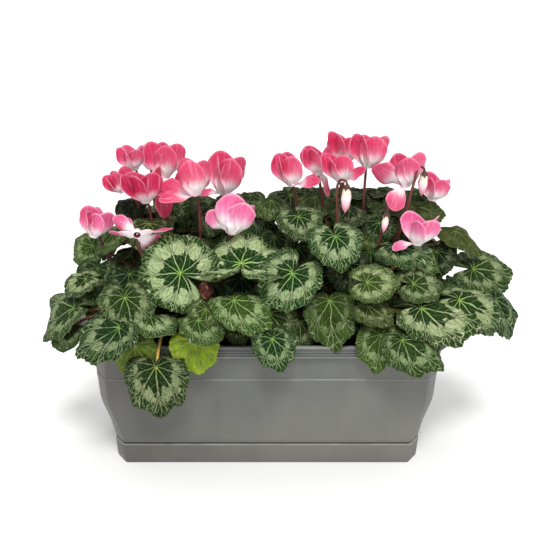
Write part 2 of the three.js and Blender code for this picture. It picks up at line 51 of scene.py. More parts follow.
BOX_CUT = (0.0105, 0.019)  # how much the wall's corners are cut off, along X and along Y
CUT_AT_RIM = (0.022, 0.033)  # the same under the rim, whose corners are cut far broader
CUT_WIDENS_FROM = 0.102
BOX_CORNER = 0.0022
RIM_HALF = (0.200, 0.085)
RIM_CUT = (0.034, 0.051)
RIM_TOP = 0.140
RIM_BOTTOM = 0.128
RIM_ROUNDING = 0.0012
RIM_GROOVES = (0.1305, 0.1333, 0.1361)  # the heights of the lines moulded into the rim's face
GROOVE_DEPTH = 0.001
WALL = 0.0022
FLOOR_BOTTOM = 0.006
SHOULDER = 0.024
# The wall's faces: height, half length, half depth. A thin raised line runs round the outside.
WALL_OUTSIDE = [
    (FLOOR_BOTTOM, 0.1552, 0.0597),
    (FLOOR_BOTTOM + 0.0008, 0.156, 0.0605),
    (SHOULDER - 0.0003, 0.1578, 0.0623),
    (SHOULDER, 0.1581, 0.0626),
    (SHOULDER, 0.1606, 0.0651),
    (SHOULDER + 0.0005, 0.161, 0.0655),
    (0.030, 0.162, 0.0662),
    (0.042, 0.1648, 0.0675),
    (0.054, 0.169, 0.0689),
    (0.066, 0.1732, 0.0703),
    (0.074, 0.1747, 0.0712),
    (0.0955, 0.1762, 0.0740),
    (0.0996, 0.1768, 0.0748),
    (0.1001, 0.1768, 0.0748),
    (0.1004, 0.1762, 0.0742),
    (0.1020, 0.1765, 0.0746),
]
WALL_INSIDE = [
    (0.009, 0.1535, 0.058),
    (0.021, 0.155, 0.0595),
    (0.028, 0.1596, 0.0641),
    (0.072, 0.1693, 0.0688),
    (0.100, 0.1724, 0.0722),
    (0.141, 0.1828, 0.0783),
]
WALL_AT_RIM = (0.1376, 0.1845, 0.0802)
FOOT_SIZE = (0.026, 0.020)
FOOT_ROUNDING = 0.0008
FOOT_PLACES = [(x, y) for x in (-0.110, 0.110) for y in (-0.034, 0.034)]
DRAIN_RADIUS = 0.004
DRAIN_BESIDE = 0.039  # from a foot's middle to its drain hole's, along X

TRAY_HEIGHT = 0.0223
TRAY_FLOOR = 0.0022
TRAY_WALL = 0.0022
TRAY_CUT = (0.0105, 0.019)
TRAY_BOTTOM = (0.1595, 0.064)
TRAY_TOP = (0.1613, 0.0658)

# Edges painted pale as highlights, where light catches them: height, width.
BOX_PAINTED_HIGHLIGHTS = [(0.1000, 0.0009), (RIM_TOP - 0.0002, 0.0012), (RIM_BOTTOM + 0.0004, 0.0008)]
TRAY_PAINTED_HIGHLIGHTS = [(TRAY_HEIGHT - 0.0004, 0.0009)]

SOIL_TOP = 0.122
SOIL_MOUND = 0.005
SOIL_HALF = (0.176, 0.075)
SOIL_RINGS = 16
SOIL_RAGGED = 0.0013  # how far its surface strays up and down
CRUMBS = 400
CRUMBS_HALF = (0.158, 0.066)
CRUMB_RADII = (0.0012, 0.0034)
TUBER_RADIUS = 0.027
TUBER_HEIGHT = 0.034
TUBER_CENTRE = 0.121
CROWNS = {"left": (-0.088, 0.0), "right": (0.094, 0.0)}

LEAF_THICKNESS = 0.0007
LEAF_RINGS = [0, 0.06, 0.14, 0.24, 0.35, 0.46, 0.57, 0.68, 0.78, 0.86, 0.93, 0.975, 1]
LEAF_SPOKES = 144
YOUNG_LEAF_RINGS = [0, 0.08, 0.22, 0.4, 0.58, 0.74, 0.88, 0.96, 1]
YOUNG_LEAF_SPOKES = 88
VEIN_STEP = radians(38)  # between neighbouring main veins
STALK_RADIUS = 0.0015
STALK_STEPS = 22
PALE_STALKS = (8, 12)  # the leaves with pale stalks, beside the yellow ones, by their place in the lists
ROOT_SPREADS = [0.011, 0.015, 0.019, 0.023]
FLOWER_STALK_RADIUS = 0.0014
FLOWER_STALK_STEPS = 7
FLOWER_ROOT_SPREAD = 0.006

MOUTH = 0.0036
TUBE_RIM = 0.0044
TUBE_WAIST = 0.0052
TUBE = 0.007
NECK = 0.0036
PIT = 0.004
PETAL_THICKNESS = 0.0004
PETAL_TURNS = [180, 240, 300, 60, 120]
CALYX = 0.0042
CALYX_TOP = 0.0024
CALYX_HEIGHT = 0.004
SEPAL_POINT = 0.0026
HOOK = 0.0049
HOOK_RISE = 0.0035
# A bud's outline between its tip and its neck, for a bud of length 1: radius, height.
BUD_OUTLINE = [(0.06, 0.08), (0.125, 0.2), (0.165, 0.34), (0.19, 0.5), (0.195, 0.64), (0.175, 0.82)]


class Leaf(NamedTuple):
    """Where the stalk meets the blade, the blade's radius, the way it looks, its form, its markings, and
    its shade, which is partly its own tone and partly painted light and shade.
    """

    x: float
    y: float
    z: float
    size: float
    turn: float
    rise: float
    spin: float
    point: float
    lobe: float
    curl: float
    silver: float
    yellow: float
    shade: float


class Bloom(NamedTuple):
    """The middle of the mouth, where its stalk comes from, how its axis leans, its petals, its tints.

    spin turns the ring of petals. others gives the petals that stray: how far they lean, their twist,
    their size and how far they swing round.
    """

    x: float
    y: float
    z: float
    turn: float
    lean: float
    lean_turn: float
    open: float
    length: float
    spin: float
    others: dict
    magenta: float
    lilac: float


class Bud(NamedTuple):
    """A closed bud's tip, the side its stalk comes from, how its axis leans, and its length."""

    x: float
    y: float
    z: float
    turn: float
    lean: float
    lean_turn: float
    length: float


LEFT_LEAVES = [
    (-0.084, -0.085, 0.219, 0.041, -95, 25, -120, 0.05, 0.05, 0.12, 1.0, 0, 0.15),
    (-0.0245, -0.078, 0.227, 0.048, -90, 62, 172, 0.05, 0.1, 0.08, 1.0, 0, 0.28),
    (-0.032, -0.099, 0.196, 0.027, -78, 38, 50, 0.45, 0.15, 0.12, 0.45, 0.1, 0.08),
    (-0.025, -0.044, 0.2, 0.03, -90, 65, 0, 0.1, 0.2, 0.15, 0.3, 0, -0.4),
    (-0.141, -0.08, 0.192, 0.031, -100, 38, 22, 0.35, 0.2, 0.1, 0.5, 0.05, -0.06),
    (-0.196, -0.058, 0.172, 0.032, -142, 40, -54, 0.6, 0.35, 0.12, 0.5, 0.05, -0.08),
    (-0.144, -0.106, 0.170, 0.035, -110, 55, -48, 0.3, 0.5, 0.15, 0.5, 0, -0.1),
    (-0.131, -0.092, 0.144, 0.024, -93, 3, 0, 0.5, 0.3, 0.02, 0.2, 0.6, 0),
    (-0.109, -0.107, 0.128, 0.034, -92, 12, 3, 0.4, 0.3, 0.12, 0.6, 0, 0),
    (-0.073, -0.093, 0.150, 0.026, -88, 14, 14, 0.2, 0.2, 0.05, 0.1, 1, 0.2),
    (-0.067, -0.106, 0.178, 0.024, -75, 50, 36, 0.2, 0.3, 0.12, 0.4, 0.1, -0.05),
    (-0.059, -0.098, 0.186, 0.017, -95, 45, -30, 0.3, 0.1, 0.1, 0.4, 0.12, 0.05),
    (0.004, -0.084, 0.176, 0.028, -75, 30, 30, 0.2, 0.1, 0.1, 0.35, 0.05, 0),
    (0.006, -0.103, 0.157, 0.023, -95, 15, 15, 0.35, 0.1, 0.05, 0.3, 0, 0),
    (-0.142, 0.01, 0.263, 0.019, -120, 55, 0, 0.2, 0.1, 0.15, 0.1, 0, -0.5),
    (-0.12, -0.024, 0.252, 0.027, -95, 65, 0, 0.1, 0.1, 0.2, 0.4, 0.1, -0.1),
    (-0.156, -0.02, 0.24, 0.02, -130, 60, -20, 0.2, 0.1, 0.15, 0.3, 0.15, -0.05),
    (-0.182, -0.006, 0.222, 0.022, -120, 40, -60, 0.2, 0.1, 0.15, 0.4, 0.15, 0),
    (-0.184, -0.046, 0.199, 0.021, -125, 60, -50, 0.2, 0.1, 0.15, 0.9, 0, 0.1),
    (-0.14, -0.042, 0.204, 0.026, -100, 55, 0, 0.15, 0.1, 0.15, 0.2, 0, -0.35),
    (-0.088, 0.02, 0.24, 0.026, -90, 40, 0, 0.1, 0.1, 0.15, 0.3, 0, -0.3),
    (-0.058, 0.006, 0.256, 0.021, -90, 50, 0, 0.2, 0.1, 0.12, 0.4, 0, -0.2),
    (-0.014, 0.012, 0.26, 0.025, -70, 60, 0, 0.2, 0.1, 0.15, 0.4, 0, -0.25),
    (0.008, -0.024, 0.238, 0.022, -90, 55, 0, 0.2, 0.1, 0.15, 0.3, 0, -0.3),
]
RIGHT_LEAVES = [
    (0.026, -0.082, 0.218, 0.033, -80, 35, -40, 0.15, 0.1, 0.12, 0.7, 0, 0.1),
    (0.063, -0.078, 0.188, 0.0255, -95, 20, 6, 0.75, 0.2, 0.08, 0.04, 0.15, -0.2),
    (0.082, -0.054, 0.218, 0.024, -95, 35, 10, 0.2, 0.1, 0.15, 0.15, 0, -0.35),
    (0.088, -0.06, 0.186, 0.02, -75, 25, 0, 0.3, 0.1, 0.1, 0.15, 0.1, -0.3),
    (0.098, -0.098, 0.214, 0.0215, -95, 28, 92, 0.35, 0.1, 0.1, 0.8, 0.1, 0.1),
    (0.1, -0.092, 0.186, 0.019, -80, 65, 55, 0.35, 0.1, 0.1, 0.4, 0.1, 0),
    (0.114, -0.092, 0.156, 0.025, -95, 6, -6, 0.4, 0.3, 0.02, 0.4, 0.15, 0),
    (0.134, -0.106, 0.157, 0.028, -85, 32, 52, 0.5, 0.3, 0.08, 0.4, 0.05, -0.06),
    (0.153, -0.088, 0.184, 0.033, -72, 50, 72, 0.75, 0.2, 0.12, 0.8, 0, 0.16),
    (0.194, -0.066, 0.184, 0.032, -62, 44, 60, 0.6, 0.2, 0.12, 0.75, 0, 0.14),
    (0.237, -0.034, 0.173, 0.026, -45, 36, 15, 0.5, 0.2, 0.15, 0.35, 0, -0.15),
    (0.216, -0.01, 0.198, 0.031, -70, 46, 80, 0.4, 0.15, 0.1, 0.45, 0.05, -0.04),
    (0.148, -0.046, 0.224, 0.024, -60, 46, 60, 0.3, 0.1, 0.15, 0.6, 0.1, 0),
    (0.13, -0.05, 0.236, 0.026, -90, 70, 80, 0.3, 0.1, 0.15, 0.5, 0, -0.05),
    (0.196, -0.004, 0.238, 0.025, -30, 62, 20, 0.3, 0.1, 0.1, 0.1, 0.3, -0.25),
    (0.15, 0.004, 0.262, 0.026, -60, 72, 70, 0.35, 0.1, 0.1, 0.1, 0.25, -0.3),
    (0.116, -0.014, 0.25, 0.021, -90, 45, -30, 0.1, 0.1, 0.15, 0.15, 0, -0.2),
    (0.068, -0.068, 0.252, 0.029, -85, 45, 10, 0.1, 0.1, 0.12, 0.7, 0, 0.05),
    (0.032, -0.046, 0.266, 0.025, -95, 55, 30, 0.1, 0.1, 0.12, 0.5, 0, 0),
    (0.004, 0.008, 0.268, 0.024, -60, 75, 0, 0.2, 0.1, 0.12, 0.3, 0.2, -0.3),
    (0.05, 0.022, 0.268, 0.023, -90, 75, 0, 0.2, 0.1, 0.12, 0.2, 0.2, -0.3),
    (0.106, 0.034, 0.268, 0.024, 90, 60, 0, 0.2, 0.1, 0.12, 0.2, 0.1, -0.35),
    (0.084, -0.014, 0.264, 0.02, -90, 75, 0, 0.2, 0.1, 0.12, 0.4, 0, -0.2),
    (0.176, -0.018, 0.22, 0.022, -90, 50, 0, 0.2, 0.1, 0.12, 0.4, 0, -0.3),
    (0.106, -0.036, 0.226, 0.022, -90, 60, 0, 0.2, 0.1, 0.12, 0.3, 0, -0.35),
]
# Small leaves low between the others and behind them, mostly painted dark as shade: x, y, z, size, turn,
# rise, spin, silver, shade.
FILL_LEAVES = {
    "left": [
        (-0.076, 0.03, 0.257, 0.025, -90, 50, 0, 0.25, -0.28),
        (-0.048, 0.028, 0.255, 0.025, -90, 55, 10, 0.25, -0.28),
        (-0.021, 0.035, 0.257, 0.02, -70, 60, 0, 0.25, -0.25),
        (-0.032, 0, 0.233, 0.024, -90, 50, 0, 0.25, -0.3),
        (-0.174, -0.028, 0.205, 0.023, -110, 45, 0, 0.25, -0.3),
        (-0.187, -0.034, 0.185, 0.021, -120, 45, -20, 0.25, -0.25),
        (-0.168, -0.04, 0.174, 0.022, -100, 50, 0, 0.25, -0.3),
        (-0.062, -0.03, 0.212, 0.024, -90, 50, 0, 0.25, -0.4),
        (0.012, 0.012, 0.233, 0.024, -90, 50, 0, 0.25, -0.34),
        (-0.086, 0.036, 0.261, 0.019, -90, 62, 0, 0.25, -0.3),
        (-0.064, 0.03, 0.256, 0.02, -90, 60, 0, 0.25, -0.3),
        (-0.037, 0.038, 0.262, 0.019, -90, 62, 0, 0.25, -0.28),
        (-0.019, 0.042, 0.264, 0.018, -60, 66, 20, 0.25, -0.22),
        (-0.199, -0.062, 0.152, 0.02, -120, 50, -30, 0.5, -0.1),
        (0.034, -0.072, 0.162, 0.02, -90, 30, 0, 0.5, -0.12),
        (-0.116, -0.088, 0.174, 0.023, -95, 76, 60, 0.8, 0.08),
        (-0.031, -0.068, 0.158, 0.016, -90, 45, 20, 0.35, -0.15),
    ],
    "right": [
        (0.025, 0.038, 0.266, 0.026, -90, 65, 0, 0.25, -0.25),
        (0.052, 0.045, 0.268, 0.021, -90, 65, 0, 0.25, -0.28),
        (0.087, 0.036, 0.267, 0.024, -90, 60, 0, 0.25, -0.25),
        (0.117, 0.035, 0.27, 0.021, -80, 65, 0, 0.25, -0.28),
        (0.143, 0.022, 0.248, 0.026, -80, 50, 0, 0.25, -0.3),
        (0.137, -0.02, 0.189, 0.024, -80, 45, 0, 0.25, -0.38),
        (0.166, -0.026, 0.183, 0.023, -75, 45, 10, 0.25, -0.3),
        (0.193, -0.02, 0.176, 0.022, -60, 40, 0, 0.25, -0.3),
        (0.032, -0.012, 0.222, 0.024, -90, 50, 0, 0.25, -0.36),
        (0.035, 0.046, 0.268, 0.02, -90, 66, 0, 0.25, -0.25),
        (0.068, 0.045, 0.265, 0.02, -90, 62, 10, 0.25, -0.3),
        (0.091, 0.046, 0.268, 0.02, -100, 66, -20, 0.25, -0.28),
        (0.135, 0.034, 0.267, 0.021, -80, 60, 0, 0.25, -0.3),
        (0.157, 0.03, 0.269, 0.02, -70, 62, 10, 0.25, -0.28),
        (0.188, -0.03, 0.188, 0.019, -70, 45, 0, 0.25, -0.28),
        (0.146, -0.075, 0.204, 0.025, -68, 50, 84, 0.6, 0.02),
    ],
}
FILL_FORM = (0.25, 0.15, 0.12)  # their point, lobe and curl
FILL_YELLOW = 0.05
# How far blades bend back above the joint and down below it, in degrees, by their place in the lists.
USUAL_BENDS = (22, 6)
BENDS = {
    "left": {
        0: (8, 4),
        1: (4, -32),
        2: (62, 0),
        5: (36, 0),
        6: (50, 0),
        8: (62, 0),
        9: (58, 0),
        10: (56, 0),
        12: (44, 0),
        13: (50, 0),
    },
    "right": {
        0: (20, 10),
        1: (64, 0),
        3: (50, 0),
        6: (50, 0),
        7: (56, 0),
        8: (34, 0),
        9: (30, 0),
        10: (40, 0),
    },
}
# The leaves at the back, round each crown. They stand high and near, and low and far, by turns.
BACK_COUNT = 5
BACK_FROM, BACK_TO = 12, 168
BACK_NEAR = (0.069, 0.230, 50)  # how far out, how high, how steep
BACK_FAR = (0.092, 0.190, 30)
BACK_SIZE = 0.035
BACK_FORM = (0.25, 0.15, 0.15, 0.6, 0.05, 0)  # their point, lobe, curl, silver, yellow and shade
BACK_SEED = 21
# Rings of young leaves round a crown: how many, from and to which side, how far out, how high, how steep,
# their size and their painted shade, darkest for the inner rings. The rings at the back hide the soil
# there.
YOUNG_RINGS = [
    (11, 0, 360, 0.056, 0.158, 25, 0.021, -0.35),
    (9, 10, 370, 0.046, 0.195, 45, 0.021, -0.3),
    (6, 20, 380, 0.030, 0.232, 65, 0.019, -0.25),
    (7, 0, 180, 0.088, 0.160, 18, 0.024, -0.15),
    (6, 8, 172, 0.076, 0.208, 38, 0.025, -0.05),
    (4, 20, 160, 0.048, 0.250, 60, 0.025, -0.05),
]
# Between which values each one's spin, point, lobe, curl, silver and yellow lie.
YOUNG_FORM = [(-40, 40), (0.1, 0.35), (0.1, 0.25), (0.1, 0.2), (0.2, 0.7), (0, 0.25)]

LEFT_BLOOMS = [
    (-0.175, -0.04, 0.242, 80, 12, 10, 10, 0.031, -45, {}, 0.5, 0.7),
    (-0.147, -0.003, 0.279, 40, 28, 170, 9, 0.024, 0, {}, 0.3, 0),
    (-0.138, 0.018, 0.297, 90, 8, 160, 12, 0.026, -30, {}, 0, 0.3),
    (-0.125, 0.044, 0.292, 90, 6, 0, 9, 0.024, -30, {}, 0, 0.1),
    (-0.121, -0.034, 0.276, 90, 10, 150, 19, 0.035, -18, {}, 1, 0),
    (-0.105, 0.004, 0.292, 100, 4, 90, 11, 0.037, -60, {0: (162, 62, 1.1, 48)}, 0.2, 0),
    (-0.07, -0.042, 0.286, 80, 14, 170, 11, 0.038, -40,
     {4: (68, 18, 1, 0), 0: (80, 16, 0.95, 0)}, 0.15, 0),
    (-0.045, -0.002, 0.276, 90, 6, 20, 11, 0.043, -42, {4: (98, 14, 0.6, 0)}, 0.25, 0),
    (-0.035, -0.05, 0.248, 90, 10, 20, 13, 0.037, -30,
     {4: (42, -80, 0.75, 0), 0: (2, -24, 1.12, 0)}, 0, 0.8),
    (-0.128, -0.066, 0.252, 90, 72, 90, 62, 0.03, 0,
     {0: (36, 20, 0.5, -46), 1: (72, -62, 1.0, 26), 2: (64, 10, 0.9, 20), 3: (66, 40, 0.8, 20),
      4: (60, 8, 0.75, 0)}, 0.3, 0.5),
    (-0.08, 0.052, 0.258, 90, 8, 90, 12, 0.032, -45, {}, 0.1, 0.1),
]
RIGHT_BLOOMS = [
    (0.026, -0.015, 0.289, 90, 6, 150, 9, 0.033, -50, {2: (80, -32, 0.8, 0)}, 0.2, 0.1),
    (0.053, 0, 0.297, 90, 6, 190, 9, 0.031, -20, {1: (165, 32, 0.75, 0)}, 0.1, 0.1),
    (0.08, 0.03, 0.3, 90, 4, 90, 10, 0.034, -30, {}, 0.1, 0),
    (0.075, -0.026, 0.296, 90, 6, 160, 12, 0.032, -45,
     {2: (56, -30, 0.75, 0), 3: (50, -20, 0.8, 0)}, 0.15, 0),
    (0.103, 0.004, 0.303, 90, 6, 30, 11, 0.035, -40, {}, 0.2, 0.05),
    (0.142, -0.012, 0.287, 90, 6, 170, 13, 0.035, -45,
     {4: (50, -70, 0.95, 0), 0: (142, 50, 0.78, 0)}, 0.15, 0.2),
    (0.172, 0.008, 0.267, 90, 10, 20, 12, 0.028, -35, {}, 0, 0.3),
    (0.151, -0.054, 0.238, 90, 8, 20, 17, 0.032, -20, {4: (112, 18, 0.6, 0)}, 0, 0.75),
]
RIGHT_BUDS = [
    (0.078, -0.052, 0.271, 180, 4, 0, 0.025),
    (0.157, -0.022, 0.28, 200, 6, 0, 0.022),
    (0.117, -0.05, 0.25, 90, 10, 20, 0.017),
]
WITHERED_BUDS = {"left": [(-0.0585, -0.092, 0.192, 70, 24, 100, 0.019)], "right": []}
# Each plant's large leaves, its blooms and its buds, and the seed of its random draws.
PLANTS = {
    "left": (LEFT_LEAVES, LEFT_BLOOMS, [], 3),
    "right": (RIGHT_LEAVES, RIGHT_BLOOMS, RIGHT_BUDS, 5),
}

CAMERA_TARGET = (0.010, 0, 0.186)
CAMERA_DOWN = 19  # how far it looks down, in degrees
CAMERA_AWAY = 1.3
SUN_FROM = (0.06, -0.8, 1)


# ---------------------------------------------------------------- small tools

WORD = 0xFFFFFFFF  # the greatest whole number of 32 bits
DRAW_STEP = 0x6D2B79F5


def draws(seed):
    """A seeded random number from 0 to 1 at each call, the same ones as the solids take."""
    state = seed & WORD

    def draw():
        nonlocal state
        state = (state + DRAW_STEP) & WORD
        t = ((state ^ (state >> 15)) * (1 | state)) & WORD
        t = ((t + (((t ^ (t >> 7)) * (61 | t)) & WORD)) & WORD) ^ t
        return ((t ^ (t >> 14)) & WORD) / (WORD + 1)

    return draw


def between(draw, low, high):
    return low + (high - low) * draw()


def spread(draw, width):
    return width * (draw() - 0.5)


def smooth(value, low, high):
    """0 below low, 1 above high, and an easy slope between."""
    t = min(1, max(0, (value - low) / (high - low)))
    return t * t * (3 - 2 * t)


def mesh_of(name, bm):
    mesh = bpy.data.meshes.new(name)
    bm.to_mesh(mesh)
    bm.free()
    return mesh


def stand(name, data):
    """An object in the scene."""
    made = bpy.data.objects.new(name, data)
    bpy.context.scene.collection.objects.link(made)
    return made


def piece(name, bm, materials, slot, *nodes, sharp=40):
    """A finished piece of the object, which stands for these nodes."""
    mesh = mesh_of(name, bm)
    for material in materials:
        mesh.materials.append(material)
    for face in mesh.polygons:
        face.use_smooth = True
    mesh.set_sharp_from_angle(angle=radians(sharp))
    made = stand(name, mesh)
    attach(made, "root")
    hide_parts(*nodes)
    return made


def thicken(made, thickness):
    """Gives a sheet its thickness below its faces. Its back and its edge take the next two materials."""
    wall = made.modifiers.new("thickness", "SOLIDIFY")
    wall.thickness = thickness
    wall.offset = -1
    wall.material_offset = 1
    wall.material_offset_rim = 2
    wall.use_rim = True


def turned(bm, outline, steps):
    """Turns an outline, of radius and height, right round Z."""
    line = [bm.verts.new((radius, 0, height)) for radius, height in outline]
    edges = [bm.edges.new(pair) for pair in zip(line, line[1:])]
    bmesh.ops.spin(
        bm, geom=line + edges, cent=(0, 0, 0), axis=(0, 0, 1), angle=2 * pi, steps=steps, use_merge=True
    )


# ---------------------------------------------------------------- materials


def screen(red, green, blue):
    """A colour as a screen shows it, from 0 to 255, as the linear colour that a shader takes."""

    def linear(value):
        share = value / 255
        return share / 12.92 if share <= 0.04045 else ((share + 0.055) / 1.055) ** 2.4

    return (linear(red), linear(green), linear(blue), 1.0)


class Value:
    """A node's output, which stands in a formula like a number."""

    def __init__(self, recipe, socket):
        self.recipe = recipe
        self.socket = socket

    def __add__(self, other):
        return self.recipe.math("ADD", self, other)

    def __sub__(self, other):
        return self.recipe.math("SUBTRACT", self, other)

    def __rsub__(self, other):
        return self.recipe.math("SUBTRACT", other, self)

    def __mul__(self, other):
        return self.recipe.math("MULTIPLY", self, other)

    def __truediv__(self, other):
        return self.recipe.math("DIVIDE", self, other)

    def __abs__(self):
        return self.recipe.math("ABSOLUTE", self)


class Recipe:
    """A material and short ways to wire its nodes."""

    def __init__(self, name, roughness, specular):
        self.material = bpy.data.materials.new(name)
        self.material.use_nodes = True
        self.tree = self.material.node_tree
        self.shader = self.tree.nodes["Principled BSDF"]
        self.shader.inputs["Roughness"].default_value = roughness
        self.shader.inputs["Specular IOR Level"].default_value = specular

    def node(self, kind, inputs=(), output=0, **settings):
        """Adds a node with these settings, feeds its inputs, and gives one of its outputs."""
        made = self.tree.nodes.new(kind)
        for name, value in settings.items():
            setattr(made, name, value)
        for place, value in dict(inputs).items():
            if isinstance(value, Value):
                self.tree.links.new(value.socket, made.inputs[place])
            else:
                made.inputs[place].default_value = value
        return Value(self, made.outputs[output])

    def math(self, operation, *values):
        return self.node("ShaderNodeMath", enumerate(values), operation=operation)

    def root(self, value):
        return self.math("SQRT", value)

    def most(self, *values):
        """The greatest of some values."""
        greatest = values[0]
        for value in values[1:]:
            greatest = self.math("MAXIMUM", greatest, value)
        return greatest

    def slope(self, value, low, high, start=0.0, end=1.0):
        """From start below low to end above high, with an easy slope between."""
        inputs = enumerate((value, low, high, start, end))
        return self.node("ShaderNodeMapRange", inputs, interpolation_type="SMOOTHSTEP")

    def fade(self, value, low, high):
        """1 below low, 0 above high."""
        return self.slope(value, low, high, 1.0, 0.0)

    def mix(self, share, first, second):
        return self.node("ShaderNodeMix", {0: share, 6: first, 7: second}, 2, data_type="RGBA")

    def tuned(self, colour, brightness, hue=0.5):
        inputs = {"Color": colour, "Value": brightness, "Hue": hue}
        return self.node("ShaderNodeHueSaturation", inputs)

    def map(self, name):
        """The X and Y of one of the piece's own maps."""
        return self.split(self.node("ShaderNodeUVMap", uv_map=name))[:2]

    def attribute(self, name):
        return self.node("ShaderNodeAttribute", output="Fac", attribute_name=name)

    def place(self, scale=(1, 1, 1)):
        """Object coordinates, stretched."""
        where = self.node("ShaderNodeTexCoord", output="Object")
        return self.node("ShaderNodeMapping", {"Vector": where, "Scale": scale})

    def noise(self, place, scale, detail=3.0, roughness=0.5):
        inputs = {"Vector": place, "Scale": scale, "Detail": detail, "Roughness": roughness}
        return self.node("ShaderNodeTexNoise", inputs, "Fac")

    def cracks(self, place, scale):
        """The distance from the borders of an irregular net of cells."""
        inputs = {"Vector": place, "Scale": scale}
        return self.node("ShaderNodeTexVoronoi", inputs, "Distance", feature="DISTANCE_TO_EDGE")

    def combine(self, x, y, z):
        return self.node("ShaderNodeCombineXYZ", enumerate((x, y, z)))

    def split(self, vector):
        parts = self.node("ShaderNodeSeparateXYZ", {0: vector}).socket.node.outputs
        return [Value(self, part) for part in parts]

    def paint(self, colour):
        self.tree.links.new(colour.socket, self.shader.inputs["Base Color"])

    def dull(self, roughness):
        self.tree.links.new(roughness.socket, self.shader.inputs["Roughness"])

    def bump(self, height, depth, strength):
        inputs = {"Strength": strength, "Distance": depth, "Height": height}
        normal = self.node("ShaderNodeBump", inputs)
        self.tree.links.new(normal.socket, self.shader.inputs["Normal"])


class Veins:
    """The pattern of a blade's veins, in the blade's own plan: 0 at the joint and 1 at the edge."""

    def __init__(self, m):
        self.own = m.attribute("own")
        x, y = m.map("blade")
        shift = self.own * 37.0
        self.x = x + (m.noise(m.combine(x, y, shift), 3.0, 2.0) - 0.5) * 0.13
        self.y = y + (m.noise(m.combine(y, x, shift), 3.0, 2.0) - 0.5) * 0.13
        self.share = m.root(x * x + y * y)
        self.reach = reach = m.root(self.x * self.x + self.y * self.y)
        bent = m.math("ARCTAN2", self.y, self.x) * (reach * reach * 0.14 + 1.0)
        offset = m.math("WRAP", bent / VEIN_STEP, 0.5, -0.5)
        self.off_vein = abs(offset)  # 0 on a main vein, 0.5 half way to the next one
        beside = self.off_vein * reach * VEIN_STEP
        width = m.slope(reach, 0.0, 1.0, 0.018, 0.008)
        self.main = m.fade(beside / width, 0.6, 1.1) * m.fade(reach, 0.82, 1.0)
        apart = abs(self.off_vein - (reach - 0.4) * 0.5)
        fork = m.fade(apart * reach * VEIN_STEP, 0.005, 0.011)
        self.fork = fork * m.slope(reach, 0.38, 0.44) * m.fade(reach, 0.85, 0.97)
        along = (reach - beside * 1.25) / 0.15
        other_side = m.math("GREATER_THAN", offset, 0.0) * 0.5
        branch = abs(m.math("WRAP", along + other_side, 0.5, -0.5))
        self.side = m.fade(branch, 0.035, 0.1) * m.slope(reach, 0.14, 0.3)
        cells = m.combine(bent * 6.5, reach * 4.5, shift)  # long ones, that point outwards
        self.net = m.fade(m.cracks(cells, 1.0), 0.012, 0.065)
        self.cloud = m.noise(m.combine(x, y, shift + 9.0), 4.5, 3.0)


def leaf_top():
    """Dark green in the middle, then silver patches between the veins, and a netted green margin."""
    m = Recipe("leaf_top", 0.5, 0.1)
    v = Veins(m)
    silver = m.attribute("silver")
    near_vein = 1.0 - v.off_vein * 2.0
    plain = 1.0 - silver
    jag = m.noise(m.combine(v.x, v.y, v.own * 7.0), 12.0, 3.0, 0.65) - 0.5
    ragged = (v.cloud - 0.5) * 0.45 + jag * 0.2
    inner = near_vein * near_vein * 0.17 + ragged + plain * 0.16 + 0.42
    outer = near_vein * -0.1 + jag * 0.5 + plain * -0.14 + 0.84
    patch = m.slope(v.reach - inner, -0.012, 0.022) * m.slope(outer - v.reach, -0.02, 0.03)

    margin = m.mix(v.cloud, screen(16, 44, 8), screen(50, 94, 26))
    middle = m.mix(v.cloud, screen(10, 36, 6), screen(34, 78, 20))
    colour = m.mix(m.fade(v.reach - inner, -0.06, 0.05), margin, middle)
    silvery = m.mix(v.cloud, screen(166, 190, 124), screen(226, 236, 190))
    silvery = m.mix(m.slope(jag, -0.1, 0.15, 0.0, 0.6), silvery, screen(132, 166, 90))
    colour = m.mix(patch * (silver * 0.45 + 0.5), colour, silvery)

    beyond = m.slope(v.reach, 0.5, 0.7) * (1.0 - patch * 0.85)
    broken = m.slope(m.noise(m.combine(v.y, v.x, v.own * 7.0), 6.0, 2.0), 0.44, 0.56)
    side = v.side * m.slope(v.reach, 0.3, 0.65, 0.2, 0.45) * (1.0 - patch)
    fork = v.fork * (1.0 - patch) * 0.85
    pale = m.most(v.main * 0.9, fork, side, v.net * beyond * broken * 0.85)
    vein_colour = m.mix(m.slope(v.reach, 0.05, 0.4), screen(160, 202, 100), screen(218, 234, 178))
    colour = m.mix(pale, colour, vein_colour)
    crossing = m.most(v.main, v.fork * 0.7, v.side * 0.3)
    colour = m.mix(crossing * patch * 0.65, colour, screen(58, 96, 48))

    young = m.mix(v.cloud, screen(120, 158, 24), screen(190, 208, 56))
    young = m.mix(m.most(v.main * 0.8, v.side * 0.4), young, screen(226, 234, 168))
    yellow = m.attribute("yellow") * m.slope(v.cloud, 0.2, 0.6, 0.75, 1.0)
    colour = m.mix(yellow, colour, young)
    colour = m.mix(m.slope(v.share, 0.975, 0.995, 0.0, 0.4), colour, screen(132, 144, 92))
    # Painted light and shade: a leaf's shade darkens or lightens it, and own adds a little tone of its
    # own.
    brightness = m.attribute("shade") * 0.85 + v.own * 0.16 + 0.5
    m.paint(m.tuned(colour, brightness, (v.own - 0.5) * 0.03 + 0.5))

    m.dull(m.slope(v.cloud, 0.3, 0.7, 0.44, 0.56))
    grooves = v.main * -0.9 + v.side * -0.7 + v.fork * -0.7 + v.net * beyond * -0.5
    m.bump(grooves + m.noise(m.combine(v.x, v.y, v.own), 30.0, 2.0) * 0.5, 0.0013, 1.0)
    return m.material


